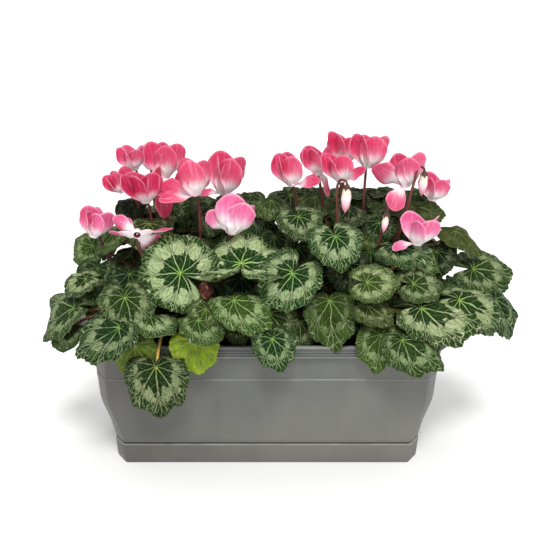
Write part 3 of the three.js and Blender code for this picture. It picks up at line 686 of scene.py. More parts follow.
def leaf_underside():
    """Olive, flushed with brown-purple, with raised veins."""
    m = Recipe("leaf_underside", 0.6, 0.16)
    v = Veins(m)
    colour = m.mix(m.slope(v.cloud, 0.35, 0.65), screen(84, 104, 60), screen(108, 96, 70))
    colour = m.mix(m.most(v.main, v.side * 0.6) * 0.7, colour, screen(140, 138, 92))
    colour = m.mix(m.attribute("yellow") * 0.8, colour, screen(150, 164, 70))
    # The leaf's painted light and shade tunes its underside too.
    m.paint(m.tuned(colour, m.attribute("shade") * 0.6 + 0.8))
    m.bump(v.main + v.side * 0.5 + v.net * 0.2, 0.0006, 0.8)
    return m.material


def mottled(name, gloss, patches, first, second, levels=None, grain=None):
    """A skin in two colours, which lie in patches.

    gloss: roughness and specular. patches: their noise's scale. levels: the noise between which they turn
    over, where they are clear. grain: the scale, depth and strength of fine bumps.
    """
    m = Recipe(name, *gloss)
    share = m.noise(m.place(), patches)
    if levels:
        share = m.slope(share, *levels)
    m.paint(m.mix(share, first, second))
    if grain:
        scale, depth, strength = grain
        m.bump(m.noise(m.place(), scale), depth, strength)
    return m.material


def leaf_edge():
    return mottled("leaf_edge", (0.5, 0.3), 90.0, screen(112, 128, 78), screen(164, 160, 118))


def stalk_skin(name, dark, light):
    """A fleshy stalk, flushed with red-brown in streaks along it, and finely hairy."""
    m = Recipe(name, 0.5, 0.35)
    flush = m.noise(m.place((1, 1, 0.25)), 60.0)
    m.paint(m.mix(m.slope(flush, 0.35, 0.65), dark, light))
    m.bump(m.noise(m.place(), 900.0, 2.0), 0.0003, 0.6)
    return m.material


def petal_skin(name, deep, rosy, white, depth):
    """White at the root, through rose to a deeper tip, with streaks along the petal and a paler edge."""
    m = Recipe(name, 0.42, 0.35)
    across, along = m.map("petal")
    magenta = m.attribute("magenta")
    lilac = m.attribute("lilac")
    shift = m.attribute("own") * 53.0
    streak = m.noise(m.combine(across * 15.0, along * 1.1, shift), 1.0, 3.0, 0.6)
    cloud = m.noise(m.combine(across * 2.0, along * 2.0, shift), 1.3, 2.0)
    side = abs(across * 2.0 - 1.0)
    height = along + (streak - 0.5) * 0.36 + magenta * 0.12 + side * -0.06
    root = m.slope(height, white - 0.1, white + 0.24)
    body = m.slope(height + (cloud - 0.5) * 0.3, 0.35, 0.8, 0.0, depth)

    rose = m.mix(magenta, rosy, screen(208, 44, 98))
    rose = m.mix(lilac, rose, screen(240, 160, 200))
    full = m.mix(magenta, deep, screen(188, 22, 74))
    full = m.mix(lilac * 0.85, full, screen(232, 110, 165))
    colour = m.mix(body, rose, full)
    rim = m.most(m.slope(side, 0.8, 1.0), m.slope(along, 0.9, 1.0))
    colour = m.mix(rim * (lilac * 0.55 + 0.18), colour, screen(250, 196, 216))
    colour = m.mix(m.fade(abs(streak - 0.5), 0.0, 0.05) * 0.34, colour, screen(190, 34, 84))
    colour = m.mix(m.slope(streak, 0.52, 0.7) * 0.45, colour, screen(250, 168, 190))
    m.paint(m.mix(root, m.mix(cloud, screen(252, 240, 240), screen(246, 226, 232)), colour))
    m.shader.inputs["Subsurface Weight"].default_value = 0.15
    m.shader.inputs["Subsurface Radius"].default_value = (0.004, 0.0015, 0.0015)
    m.shader.inputs["Subsurface Scale"].default_value = 1.0
    m.bump(streak, 0.0011, 0.8)
    return m.material


def petal_edge():
    return mottled("petal_edge", (0.45, 0.3), 120.0, screen(232, 130, 164), screen(244, 178, 200))


def tube_skin():
    """The short tube under the calyx, white with a rosy flush."""
    white, rosy = screen(250, 236, 238), screen(236, 190, 204)
    return mottled("tube_skin", (0.45, 0.3), 140.0, white, rosy, (0.4, 0.8), (500.0, 0.0002, 0.4))


def mouth_skin():
    """The wine-dark inside of the mouth."""
    dark, wine = screen(70, 22, 36), screen(134, 52, 70)
    return mottled("mouth_skin", (0.45, 0.4), 260.0, dark, wine, grain=(600.0, 0.0002, 0.5))


def calyx_skin():
    """Olive green and red-brown in small patches."""
    olive, brown = screen(58, 54, 36), screen(92, 52, 44)
    return mottled("calyx_skin", (0.55, 0.3), 160.0, olive, brown, (0.35, 0.65), (700.0, 0.0003, 0.6))


def bud_skin():
    """A rolled bud: greenish white above, rosy at the point."""
    m = Recipe("bud_skin", 0.45, 0.35)
    across, along = m.map("petal")
    roll = m.noise(m.combine((across + along * 0.5) * 8.0, along * 1.5, 0.0), 1.0)
    pink = m.fade(along + (roll - 0.5) * 0.5, 0.1, 0.7)
    white = m.mix(m.slope(along, 0.5, 1.0), screen(250, 232, 234), screen(224, 226, 196))
    m.paint(m.mix(pink * 0.8, white, screen(232, 120, 160)))
    m.bump(roll, 0.0006, 0.6)
    return m.material


def withered_skin():
    """A spent bud's papery skin, red-brown with pale dry patches."""
    m = Recipe("withered_skin", 0.7, 0.2)
    across, along = m.map("petal")
    crease = m.noise(m.combine(across * 9.0, along * 2.0, 4.0), 1.0, 4.0, 0.7)
    brown = m.mix(m.slope(crease, 0.3, 0.6), screen(30, 12, 9), screen(84, 40, 30))
    m.paint(m.mix(m.slope(crease, 0.56, 0.66), brown, screen(196, 164, 132)))
    m.bump(crease, 0.001, 0.9)
    return m.material


def plastic(name, base, pale, dark, edges):
    """Matt grey moulded plastic with a fine grain, cloudy paler patches, scuffs, and faint runs down the
    wall. It turns paler and browner towards the bottom, and painted shade darkens it towards the left end.

    edges: the heights and widths at which the moulding is painted pale, as highlights.
    """
    m = Recipe(name, 0.5, 0.4)
    x, _, z = m.split(m.place())
    cloud = m.noise(m.place(), 9.0, 4.0, 0.55)
    runs = m.noise(m.place((1, 1, 0.12)), 45.0, 3.0, 0.6)
    specks = m.fade(m.cracks(m.place(), 160.0), 0.0, 0.05)
    scuffs = m.slope(m.noise(m.place((0.3, 1, 3)), 60.0, 4.0, 0.7), 0.66, 0.8)
    colour = m.mix(m.slope(cloud, 0.32, 0.68), base, pale)
    colour = m.mix(m.slope(runs, 0.5, 0.8) * 0.35, colour, dark)
    colour = m.mix(scuffs * 0.25, colour, screen(168, 168, 160))
    # Paler and browner towards the bottom, in cloudy patches.
    paler_towards_bottom = m.slope(z, 0.0, 0.14, 0.25, 0.0) * m.slope(cloud, 0.3, 0.7)
    colour = m.mix(paler_towards_bottom, colour, screen(122, 116, 104))
    # Painted shade: darker and browner towards the left end.
    colour = m.mix(m.slope(x, -0.2, 0.02, 0.35, 0.0), colour, screen(80, 74, 66))
    # Painted highlights: pale lines along the moulding's edges, where light catches them.
    for height, width in edges:
        painted_highlight = m.slope(abs(z - height), 0.4 * width, width, 0.55, 0.0)
        colour = m.mix(painted_highlight * m.slope(runs, 0.3, 0.6, 0.5, 1.0), colour, screen(170, 170, 164))
    m.paint(colour)
    m.dull(m.slope(cloud, 0.3, 0.7, 0.44, 0.58) + scuffs * 0.1)
    m.bump(m.noise(m.place(), 1400.0, 2.0) + specks * 0.2 + scuffs * 0.3, 0.00012, 0.6)
    return m.material


def compost():
    """Dark crumbly peat, with paler fibres."""
    m = Recipe("compost", 0.95, 0.2)
    crumb = m.noise(m.place(), 320.0, 5.0, 0.7)
    fibre = m.slope(m.noise(m.place((1, 3, 2)), 220.0), 0.62, 0.72)
    colour = m.mix(m.slope(crumb, 0.35, 0.7), screen(26, 18, 14), screen(70, 50, 38))
    m.paint(m.mix(fibre * 0.6, colour, screen(128, 98, 70)))
    m.bump(crumb, 0.002, 1.0)
    return m.material


def tuber_skin():
    """The tuber's brown, cracked cork."""
    m = Recipe("tuber_skin", 0.85, 0.2)
    crack = m.fade(m.cracks(m.place(), 130.0), 0.0, 0.1)
    colour = m.mix(m.noise(m.place(), 120.0, 4.0), screen(74, 52, 38), screen(128, 98, 72))
    m.paint(m.mix(crack * 0.7, colour, screen(40, 28, 22)))
    m.bump(m.noise(m.place(), 300.0) - crack, 0.001, 1.0)
    return m.material


def pale_floor():
    return mottled("floor", (0.9, 0.2), 3.0, (0.95, 0.95, 0.95, 1), (0.97, 0.97, 0.96, 1))


# ---------------------------------------------------------------- the window box and its tray


def octagon(half, cut, corner, steps=4):
    """The plan of a rectangle with its corners cut off and its eight angles rounded, anticlockwise."""
    (x, y), (a, b) = half, cut
    quarter = [(x, b - y), (x, y - b), (x - a, y), (a - x, y)]
    angles = [Vector((turn * px, turn * py, 0)) for turn in (1, -1) for px, py in quarter]
    plan = []
    for i, here in enumerate(angles):
        before = (angles[i - 1] - here).normalized()
        after = (angles[(i + 1) % 8] - here).normalized()
        plan += interpolate_bezier(
            here + before * corner,
            here + before * corner * 0.45,
            here + after * corner * 0.45,
            here + after * corner,
            steps,
        )
    return plan


def loft(bm, levels):
    """Draws a face up through levels, each a list of points. The first and last faces close the ends."""

    def key(point):
        return tuple(round(c, 7) for c in point)

    verts = [bm.verts.new(p) for p in levels[0]]
    bottom = bm.faces.new(reversed(verts))
    ring = list(bottom.edges)
    for level in levels[1:]:
        made = bmesh.ops.extrude_edge_only(bm, edges=ring)["geom"]
        ring = [g for g in made if isinstance(g, bmesh.types.BMEdge)]
        fresh = [g for g in made if isinstance(g, bmesh.types.BMVert)]
        above = {key(v.co): p for v, p in zip(verts, level)}
        for vert in fresh:
            vert.co = above[key(vert.co)]
        order = {key(v.co): v for v in fresh}
        verts = [order[key(p)] for p in level]
    bmesh.ops.contextual_create(bm, geom=ring)
    bmesh.ops.recalc_face_normals(bm, faces=bm.faces)


def wall_cut(z):
    """The wall's corner cut at a height. It widens above the raised line, to stay inside the rim."""
    share = min(1, max(0, (z - CUT_WIDENS_FROM) / (WALL_AT_RIM[0] - CUT_WIDENS_FROM)))
    return [low + (high - low) * share for low, high in zip(BOX_CUT, CUT_AT_RIM)]


def plan_at(z, half, cut=None, corner=BOX_CORNER, inset=0.0):
    """The eight-sided plan at a height. cut is the wall's own there, where none is given."""
    cut = cut or wall_cut(z)
    half = (half[0] - inset, half[1] - inset)
    return [Vector((p.x, p.y, z)) for p in octagon(half, cut, corner)]


def drain(box):
    """Cuts a round drain hole through the floor beside each foot."""
    bm = bmesh.new()
    size = {"radius1": DRAIN_RADIUS, "radius2": DRAIN_RADIUS, "depth": 3 * DRAIN_RADIUS}
    for x, y in FOOT_PLACES:
        made = bmesh.ops.create_cone(bm, cap_ends=True, segments=32, **size)["verts"]
        bmesh.ops.translate(bm, vec=(x + DRAIN_BESIDE, y, FLOOR_BOTTOM), verts=made)
    mesh = mesh_of("drain_holes", bm)
    holes = stand("drain_holes", mesh)
    cut = box.modifiers.new("drain_holes", "BOOLEAN")
    cut.operation = "DIFFERENCE"
    cut.solver = "EXACT"
    cut.object = holes
    bpy.context.view_layer.update()
    whole = box.data
    box.data = bpy.data.meshes.new_from_object(box.evaluated_get(bpy.context.evaluated_depsgraph_get()))
    box.modifiers.clear()
    bpy.data.objects.remove(holes)
    bpy.data.meshes.remove(mesh)
    bpy.data.meshes.remove(whole)
    box.data.name = "box_moulding"


def rim_levels():
    """Down the inside of the rim's skirt, and up its grooved face to its rounded top."""
    under_top = RIM_TOP - WALL
    levels = [
        (under_top, WALL + 0.0006),
        (under_top - 0.0006, WALL),
        (RIM_BOTTOM, WALL),
        (RIM_BOTTOM, 0.0005),
        (RIM_BOTTOM + 0.0005, 0.0),
    ]
    for groove in RIM_GROOVES:
        levels.append((groove - 0.0006, 0.0))
        levels.append((groove - 0.0004, GROOVE_DEPTH))
        levels.append((groove + 0.0004, GROOVE_DEPTH))
        levels.append((groove + 0.0006, 0.0))
    for turn in (0, 30, 60, 90):
        back = RIM_ROUNDING * (1 - cos(radians(turn)))
        down = RIM_ROUNDING * (1 - sin(radians(turn)))
        levels.append((RIM_TOP - down, back))
    return [plan_at(z, RIM_HALF, RIM_CUT, inset=inset) for z, inset in levels]


def window_box():
    """One moulding: floor, tapered wall with its raised line, and the broad rim with its skirt."""
    at_rim, *wall_half = WALL_AT_RIM
    mouth_half = WALL_INSIDE[-1][1:]
    levels = [plan_at(z, half) for z, *half in WALL_OUTSIDE]
    levels.append(plan_at(at_rim - 0.002, wall_half, inset=0.0007))
    levels.append(plan_at(at_rim, wall_half, inset=-0.0008))
    levels += rim_levels()
    for down, inset in ((0.0, -0.0022), (0.0006, -0.0008), (0.002, 0.0004)):
        levels.append(plan_at(RIM_TOP - down, mouth_half, inset=inset))
    levels += [plan_at(z, half) for z, *half in reversed(WALL_INSIDE[:-1])]
    bm = bmesh.new()
    loft(bm, levels)
    foot_bottom = TRAY_FLOOR + GAP
    foot_height = FLOOR_BOTTOM - foot_bottom
    for x, y in FOOT_PLACES:
        made = bmesh.ops.create_cube(bm, size=1)["verts"]
        bmesh.ops.scale(bm, vec=(*FOOT_SIZE, foot_height), verts=made)
        bmesh.ops.translate(bm, vec=(x, y, foot_bottom + foot_height / 2), verts=made)
        edges = list({e for v in made for e in v.link_edges})
        bmesh.ops.bevel(
            bm, geom=edges, offset=FOOT_ROUNDING, affect="EDGES", segments=2, profile=0.5, material=-1
        )
    base, pale, dark = screen(97, 99, 96), screen(109, 110, 106), screen(80, 81, 78)
    grey = plastic("box_plastic", base, pale, dark, BOX_PAINTED_HIGHLIGHTS)
    drain(piece("box_moulding", bm, [grey], "plastic", "window_box", sharp=35))


def tray():
    """A shallow tray with a rounded top edge."""
    levels = [
        (0, TRAY_BOTTOM, 0.0008),
        (0.0003, TRAY_BOTTOM, 0.0002),
        (0.0009, TRAY_BOTTOM, 0.0),
        (TRAY_HEIGHT - 0.0012, TRAY_TOP, 0.0),
        (TRAY_HEIGHT - 0.0003, TRAY_TOP, 0.0003),
        (TRAY_HEIGHT, TRAY_TOP, 0.0009),
        (TRAY_HEIGHT, TRAY_TOP, TRAY_WALL - 0.0004),
        (TRAY_HEIGHT - 0.0005, TRAY_TOP, TRAY_WALL),
        (TRAY_FLOOR + 0.001, TRAY_BOTTOM, TRAY_WALL),
        (TRAY_FLOOR, TRAY_BOTTOM, TRAY_WALL + 0.001),
    ]
    bm = bmesh.new()
    loft(bm, [plan_at(z, half, TRAY_CUT, inset=inset) for z, half, inset in levels])
    # Painted shade: the tray takes the box's grey, painted darker.
    base, pale, dark = screen(90, 91, 88), screen(102, 103, 99), screen(76, 76, 73)
    grey = plastic("tray_plastic_painted_darker", base, pale, dark, TRAY_PAINTED_HIGHLIGHTS)
    piece("tray_moulding", bm, [grey], "plastic", "tray", sharp=35)


# ---------------------------------------------------------------- soil


def inside_half(z):
    """The inner wall's half size at a height."""
    for (z0, x0, y0), (z1, x1, y1) in zip(WALL_INSIDE, WALL_INSIDE[1:]):
        if z <= z1:
            t = (z - z0) / (z1 - z0)
            return x0 + (x1 - x0) * t, y0 + (y1 - y0) * t


def soil():
    """Peat that fills the box to a low ragged mound, with crumbs lying on it."""
    heights = [WALL_INSIDE[0][0] + GAP] + [z for z, _, _ in WALL_INSIDE[1:-1]] + [SOIL_TOP]
    levels = [plan_at(z, inside_half(z), corner=0.003, inset=GAP) for z in heights]
    edge = levels[-1]
    for ring in range(1, SOIL_RINGS):
        share = 1 - ring / SOIL_RINGS
        height = SOIL_TOP + SOIL_MOUND * (1 - share)
        levels.append([Vector((p.x * (0.35 + 0.65 * share), p.y * share, height)) for p in edge])
    bm = bmesh.new()
    loft(bm, levels)
    top = [e for e in bm.edges if min(v.co.z for v in e.verts) > SOIL_TOP + 0.0001]
    bmesh.ops.subdivide_edges(bm, edges=top, cuts=2, use_grid_fill=True)
    dice = random.Random(4)
    for vert in bm.verts:
        if vert.co.z > SOIL_TOP + 0.0001:
            vert.co.z += dice.uniform(-SOIL_RAGGED, SOIL_RAGGED)
    for _ in range(CRUMBS):
        x, y = [dice.uniform(-half, half) for half in CRUMBS_HALF]
        radius = dice.uniform(*CRUMB_RADII)
        made = bmesh.ops.create_icosphere(bm, subdivisions=1, radius=radius)["verts"]
        for vert in made:
            vert.co *= dice.uniform(0.75, 1.15)
        level = SOIL_TOP + SOIL_MOUND * (1 - max(abs(x) / SOIL_HALF[0], abs(y) / SOIL_HALF[1]))
        bmesh.ops.translate(bm, vec=(x, y, level + 0.2 * radius), verts=made)
    piece("soil_fill", bm, [compost()], "soil", "soil", sharp=60)


# ---------------------------------------------------------------- leaves


def leaf_frame(leaf):
    """The way the leaf looks, its tip, its side, and uphill along its face, as unit vectors."""
    a, e, s = radians(leaf.turn), radians(leaf.rise), radians(leaf.spin)
    normal = Vector((cos(e) * cos(a), cos(e) * sin(a), sin(e)))
    uphill = Vector((-sin(e) * cos(a), -sin(e) * sin(a), cos(e)))
    tip = uphill.cross(normal) * sin(s) - uphill * cos(s)
    return normal, tip, normal.cross(tip), uphill


def leaf_edge_reach(leaf, angle):
    """How far the blade's edge is from the joint, at an angle from its tip."""
    ahead = 0.5 + 0.5 * cos(angle)
    drawn_out = 0.25 * leaf.point * exp(-((angle / 0.28) ** 2))
    reach = 1 + leaf.point * ahead**4 + drawn_out - leaf.lobe * (1 - ahead) ** 2
    sinus = exp(-(((pi - abs(angle)) / 0.24) ** 2))
    return leaf.size * reach * (1 - 0.88 * sinus)


def leaf_point(leaf, axes, share, angle, phase=0.0, fold=0.0, back=0.0, under=0.0):
    """A point of the upper face: the blade's own form, with puckers between the veins and a frill.

    back and under: how far, in degrees, the blade bends away from the viewer above its joint and below it.
    """
    normal, tip, side, uphill = axes
    tooth = 0.016 * cos(44 * angle + phase) + 0.01 * sin(23 * angle + 2 * phase)
    tooth += 0.022 * sin(9 * angle + phase)
    corner = (0.016 + 0.07 * leaf.point) * cos(2 * pi * angle * 1.14 / VEIN_STEP)
    corner *= 0.65 + 0.35 * sin(2 * angle + phase)
    reach = leaf_edge_reach(leaf, angle) * share * (1 + (tooth + corner) * smooth(share, 0.6, 1))
    far = reach / leaf.size
    wave = 0.05 * sin(5 * angle + leaf.x / MM) * far * far
    bent = angle * (1 + 0.14 * share * share)
    pucker = 0.07 * (abs(sin(pi * bent / VEIN_STEP)) - 0.6)
    pucker *= smooth(share, 0.02, 0.35) * smooth(share, 1.05, 0.7)
    frill = (0.026 * sin(13 * angle + 3 * phase) + 0.03 * sin(4 * angle + 5 * phase)) * share**4
    funnel = -0.035 * (1 - smooth(share, 0, 0.22))
    turned_down = -0.07 * share**6
    folded = fold * abs(sin(angle)) * share + 0.035 * sin(3 * angle + 2 * phase) * share**3
    height = leaf.size * (wave - leaf.curl * far * far + pucker + frill + funnel + turned_down + folded)
    spot = tip * (1.04 * reach * cos(angle)) + side * (0.96 * reach * sin(angle)) + normal * height
    up = spot.dot(uphill)
    bend = radians(back if up > 0 else under) * smooth(abs(up) / leaf.size, 0, 0.5)
    spot += uphill * (up * (cos(bend) - 1)) - normal * (abs(up) * sin(bend))
    return Vector((leaf.x, leaf.y, leaf.z)) + spot


def blade_sheet(rings, spokes):
    """A flat round sheet of radius 1 with a map of its own plan, which blades are shaped from."""
    bm = bmesh.new()
    turned(bm, [(share, 0) for share in rings], spokes)
    bmesh.ops.remove_doubles(bm, verts=bm.verts, dist=1e-5)
    bm.normal_update()
    if sum(face.normal.z for face in bm.faces) < 0:
        bmesh.ops.reverse_faces(bm, faces=bm.faces)
    plan = bm.loops.layers.uv.new("blade")
    for face in bm.faces:
        for corner in face.loops:
            corner[plan].uv = corner.vert.co.xy
    for name in ("own", "silver", "yellow", "shade"):
        bm.verts.layers.float.new(name)
    return mesh_of("blade_sheet", bm)


def add_blade(bm, sheet, leaf, dice, bends):
    start = len(bm.verts)
    bm.from_mesh(sheet)
    bm.verts.ensure_lookup_table()
    axes = leaf_frame(leaf)
    phase = dice.uniform(0, 2 * pi)
    own = dice.random()
    fold = dice.uniform(-0.12, 0.34)
    floats = bm.verts.layers.float
    for vert in bm.verts[start:]:
        share = hypot(vert.co.x, vert.co.y)
        vert.co = leaf_point(leaf, axes, share, atan2(vert.co.y, vert.co.x), phase, fold, *bends)
        vert[floats["own"]] = own
        vert[floats["silver"]] = leaf.silver
        vert[floats["yellow"]] = leaf.yellow
        vert[floats["shade"]] = leaf.shade


def young_leaves(crown, seed):
    """Smaller leaves between the large ones: round the crown in rings, and more of them at the back."""
    dice = random.Random(seed * 7)
    leaves = []
    for count, first, last, out, height, rise, size, shade in YOUNG_RINGS:
        for i in range(count):
            turn = first + (last - first) * (i + 0.5) / count + dice.uniform(-8, 8)
            away = out * dice.uniform(0.92, 1.08)
            leaf = Leaf(
                crown[0] + away * cos(radians(turn)),
                crown[1] + 0.75 * away * sin(radians(turn)),
                height + dice.uniform(-0.007, 0.007),
                size * dice.uniform(0.85, 1.15),
                turn + dice.uniform(-15, 15),
                rise + dice.uniform(-8, 8),
                *[dice.uniform(low, high) for low, high in YOUNG_FORM],
                shade + dice.uniform(-0.06, 0.06),
            )
            leaves.append(leaf)
    return leaves


def fill_leaves(side):
    leaves = []
    for *stance, silver, shade in FILL_LEAVES[side]:
        leaves.append(Leaf(*stance, *FILL_FORM, silver, FILL_YELLOW, shade))
    return leaves


def back_leaves(crown, seed):
    draw = draws(BACK_SEED + seed)
    leaves = []
    for i in range(BACK_COUNT):
        turn = BACK_FROM + (BACK_TO - BACK_FROM) * (i + 0.5) / BACK_COUNT
        out, height, rise = BACK_FAR if i % 2 else BACK_NEAR
        leaf = Leaf(
            crown[0] + out * cos(radians(turn)),
            crown[1] + out * sin(radians(turn)),
            height + spread(draw, 0.014),
            BACK_SIZE * between(draw, 0.9, 1.1),
            turn + spread(draw, 20),
            rise,
            spread(draw, 30),
            *BACK_FORM,
        )
        leaves.append(leaf)
    return leaves


# ---------------------------------------------------------------- stalks


def root_towards(crown, place, out):
    """A point just inside the tuber, some way out from the crown towards a place."""
    outward = Vector((place.x - crown[0], place.y - crown[1], 0)).normalized()
    height = TUBER_HEIGHT / 2 * sqrt(1 - (out / TUBER_RADIUS) ** 2)
    return Vector((*crown, TUBER_CENTRE + height - 0.005)) + outward * out


def leaf_stalk_path(leaf, crown, index):
    """From the tuber up and out, and into the blade's joint from below."""
    axes = leaf_frame(leaf)
    normal, tip = axes[:2]
    joint = Vector((leaf.x, leaf.y, leaf.z))
    root = root_towards(crown, joint, ROOT_SPREADS[index % len(ROOT_SPREADS)])
    bend = root.lerp(joint, 0.25)
    bend.z = root.z + max(0.040, leaf.z - root.z - 0.020)
    end = leaf_point(leaf, axes, 0.05, 0) - normal * LEAF_THICKNESS
    under = end - normal * 0.020 - tip * 0.007
    under.z = max(under.z, RIM_TOP + 0.024)
    return interpolate_bezier(root, bend, under, end, STALK_STEPS)


def bloom_frame(flower):
    """The flower's own axes: up runs from its mouth to its calyx, back to where its stalk comes from."""
    lean, lean_turn, turn = radians(flower.lean), radians(flower.lean_turn), radians(flower.turn)
    up = Vector((sin(lean) * cos(lean_turn), sin(lean) * sin(lean_turn), cos(lean)))
    back = Vector((cos(turn), sin(turn), 0))
    back = (back - up * back.dot(up)).normalized()
    axes = Matrix((back, up.cross(back), up)).transposed().to_4x4()
    return Matrix.Translation((flower.x, flower.y, flower.z)) @ axes


def through(marks, steps):
    """A smooth line through marks."""
    path = []
    for i, (start, end) in enumerate(zip(marks, marks[1:])):
        before = marks[max(0, i - 1)]
        after = marks[min(len(marks) - 1, i + 2)]
        span = (end - start).length
        leave = (end - before).normalized() * span / 3
        arrive = (after - start).normalized() * span / 3
        stretch = interpolate_bezier(start, start + leave, end - arrive, end, steps)
        path += stretch[:-1] if end is not marks[-1] else stretch
    return path


def flower_stalk_path(flower, height, crown):
    """Out of the calyx's top, over in a hook, and down to the tuber."""
    frame_of = bloom_frame(flower)

    def local(back, up):
        return frame_of @ Vector((back, 0, up))

    top = height + CALYX_HEIGHT
    hang = local(2 * HOOK, top - 0.008)
    root = root_towards(crown, hang, FLOWER_ROOT_SPREAD)
    rise = hang.z - root.z
    down = local(0, 0) - local(0, 1)
    low = root.lerp(hang, 0.3)
    low.z = root.z + 0.45 * rise
    marks = [
        local(0, top - 0.001),
        local(0.4 * HOOK, top + HOOK_RISE),
        local(1.6 * HOOK, top + HOOK_RISE),
        hang,
        hang.lerp(root, 0.3) + down * (0.12 * rise),
        low,
        root,
    ]
    return through(marks, FLOWER_STALK_STEPS)


def add_tube(bm, path, radii, sides=8, material=0):
    """A round stalk along a path, with a radius at each end of it."""
    ring = bmesh.ops.create_circle(bm, cap_ends=True, segments=sides, radius=1)["verts"]
    plans = [v.co.copy() for v in ring]
    face = next(f for f in ring[0].link_faces if len(f.verts) == sides)
    faces = {face}
    turn = Quaternion()
    heading = Vector((0, 0, 1))
    for i, here in enumerate(path):
        ahead = (path[min(i + 1, len(path) - 1)] - path[max(i - 1, 0)]).normalized()
        turn = heading.rotation_difference(ahead) @ turn
        heading = ahead
        radius = radii[0] + (radii[1] - radii[0]) * i / (len(path) - 1)
        if i:
            grown = bmesh.ops.extrude_face_region(bm, geom=[face])["geom"]
            face = next(g for g in grown if isinstance(g, bmesh.types.BMFace))
            below = dict(zip(ring, plans))
            ring = list(face.verts)
            mates = [next(e.other_vert(v) for e in v.link_edges if e.other_vert(v) in below) for v in ring]
            plans = [below[mate] for mate in mates]
        for v, plan in zip(ring, plans):
            v.co = here + turn @ (plan * radius)
        faces.update(f for v in ring for f in v.link_faces)
    for f in faces:
        if f.is_valid:
            f.material_index = material


# ---------------------------------------------------------------- blooms

TUBE_PLACE, MOUTH_PLACE = 3, 4  # the places of the tube's and the mouth's skins among a bloom's


def petal_half(share):
    """A petal's half width at a share of its length, for a petal of length 1."""
    return 0.11 + 0.29 * smooth(share, -0.08, 0.46)


def petal_spot(turn, lean, length, share, across, habit):
    """A point of a petal's outer face, in the flower's axes. across runs from -1 to 1."""
    s, c = sin(radians(lean)), cos(radians(lean))
    outward = Vector((c, 0, -s))
    pinwheel = radians(max(10, 52 - lean)) * min(1, share / 0.4)
    sideways = Vector((sin(pinwheel), cos(pinwheel), 0))
    if habit["twist"] is not None:
        twist = radians(habit["twist"]) * smooth(share, 0, 0.4)
        sideways = Vector((0, cos(twist), 0)) + outward * sin(twist)
    beside = across * (petal_half(share) * length * habit["width"])
    edge = abs(across)
    wave = sin(9 * share + habit["phase"] + (2 if across > 0 else 0))
    ripple = 0.03 * wave * edge**3 * smooth(share, 0.2, 0.6)
    cup = 0.0012 * share * share + length * (
        -habit["roll"] * edge**2 * petal_half(share)
        + habit["bow"] * sin(pi * share)
        + ripple
        + habit["flip"] * smooth(share, 0.7, 1.0)
    )
    out = 0.0041 + 0.0027 * smooth(share, 0, 0.25) + length * share * s
    up = 0.0007 + length * share * c
    spot = Vector((out, 0, up)) + sideways * beside + outward * cup
    return Matrix.Rotation(radians(turn), 3, "Z") @ spot


def add_petal(bm, turn, lean, twist, length, bloom, frame_of, dice):
    """A broad petal, narrow at its root, with a rounded tip."""
    habit = {
        "width": dice.uniform(0.94, 1.02),
        "phase": dice.uniform(0, 6),
        "roll": dice.uniform(0.1, 0.32),
        "bow": dice.uniform(0.0, 0.05),
        "flip": dice.uniform(-0.05, 0.03),
        "twist": twist,
    }
    own = dice.random()
    made = bmesh.ops.create_grid(bm, x_segments=12, y_segments=20, size=1)["verts"]
    plan = bm.loops.layers.uv["petal"]
    floats = bm.verts.layers.float
    for face in {f for v in made for f in v.link_faces}:
        for corner in face.loops:
            corner[plan].uv = (0.5 + 0.5 * corner.vert.co.x, 0.5 + 0.5 * corner.vert.co.y)
    for vert in made:
        across, share = vert.co.x, 0.5 + 0.5 * vert.co.y
        share *= 1 - 0.3 * across * across
        vert.co = frame_of @ petal_spot(turn, lean, length, share, across, habit)
        vert[floats["own"]] = own
        vert[floats["magenta"]] = bloom.magenta
        vert[floats["lilac"]] = bloom.lilac


def corolla(bloom, frame_of, draw, dice):
    """A bloom's five petals."""
    bm = bmesh.new()
    bm.loops.layers.uv.new("petal")
    for layer in ("own", "magenta", "lilac"):
        bm.verts.layers.float.new(layer)
    for i, turn in enumerate(PETAL_TURNS):
        if i in bloom.others:
            lean, twist, size, swing = bloom.others[i]
        else:
            lean, twist, size, swing = bloom.open * between(draw, 0.9, 1.1), None, 1, 0
        length = size * bloom.length * between(draw, 0.9, 1.04)
        add_petal(bm, turn + bloom.spin + swing, lean, twist, length, bloom, frame_of, dice)
    return bm


def flower_tube(frame_of):
    """The short tube, from the neck under the calyx to the mouth, and up inside to its closed end."""
    outline = [
        (0.0008, TUBE),
        (NECK, TUBE),
        (NECK + 0.0008, TUBE - 0.002),
        (TUBE_WAIST, 0.0024),
        (TUBE_RIM + 0.0002, 0.0006),
        (TUBE_RIM - 0.0002, 0),
        (MOUTH, 0.0001),
        (MOUTH - 0.0005, 0.0008),
        (MOUTH - 0.0009, PIT),
        (0.0012, PIT + 0.0004),
        (0.0007, 0.0012),
        (0.0002, 0.0009),
    ]
    bm = bmesh.new()
    turned(bm, outline, 24)
    bmesh.ops.remove_doubles(bm, verts=bm.verts, dist=1e-6)
    for face in bm.faces:
        middle = face.calc_center_median()
        inside = 0.0011 < middle.xy.length < MOUTH and middle.z < PIT + 0.001
        face.material_index = MOUTH_PLACE if inside else TUBE_PLACE
    bmesh.ops.recalc_face_normals(bm, faces=bm.faces)
    bmesh.ops.transform(bm, matrix=frame_of, verts=bm.verts)
    return bm


def blooms_of(side, blooms, seed, skins):
    draw = draws(seed)
    dice = random.Random(seed * 11)
    for number, row in enumerate(blooms, 1):
        bloom = Bloom(*row)
        frame_of = bloom_frame(bloom)
        node = f"{side}_bloom_{number}"
        bm = corolla(bloom, frame_of, draw, dice)
        petals = piece(f"{side}_petals_{number}", bm, skins[:TUBE_PLACE], "petal", node, sharp=80)
        thicken(petals, PETAL_THICKNESS)
        piece(f"{side}_mouth_{number}", flower_tube(frame_of), skins, "petal", node, sharp=50)


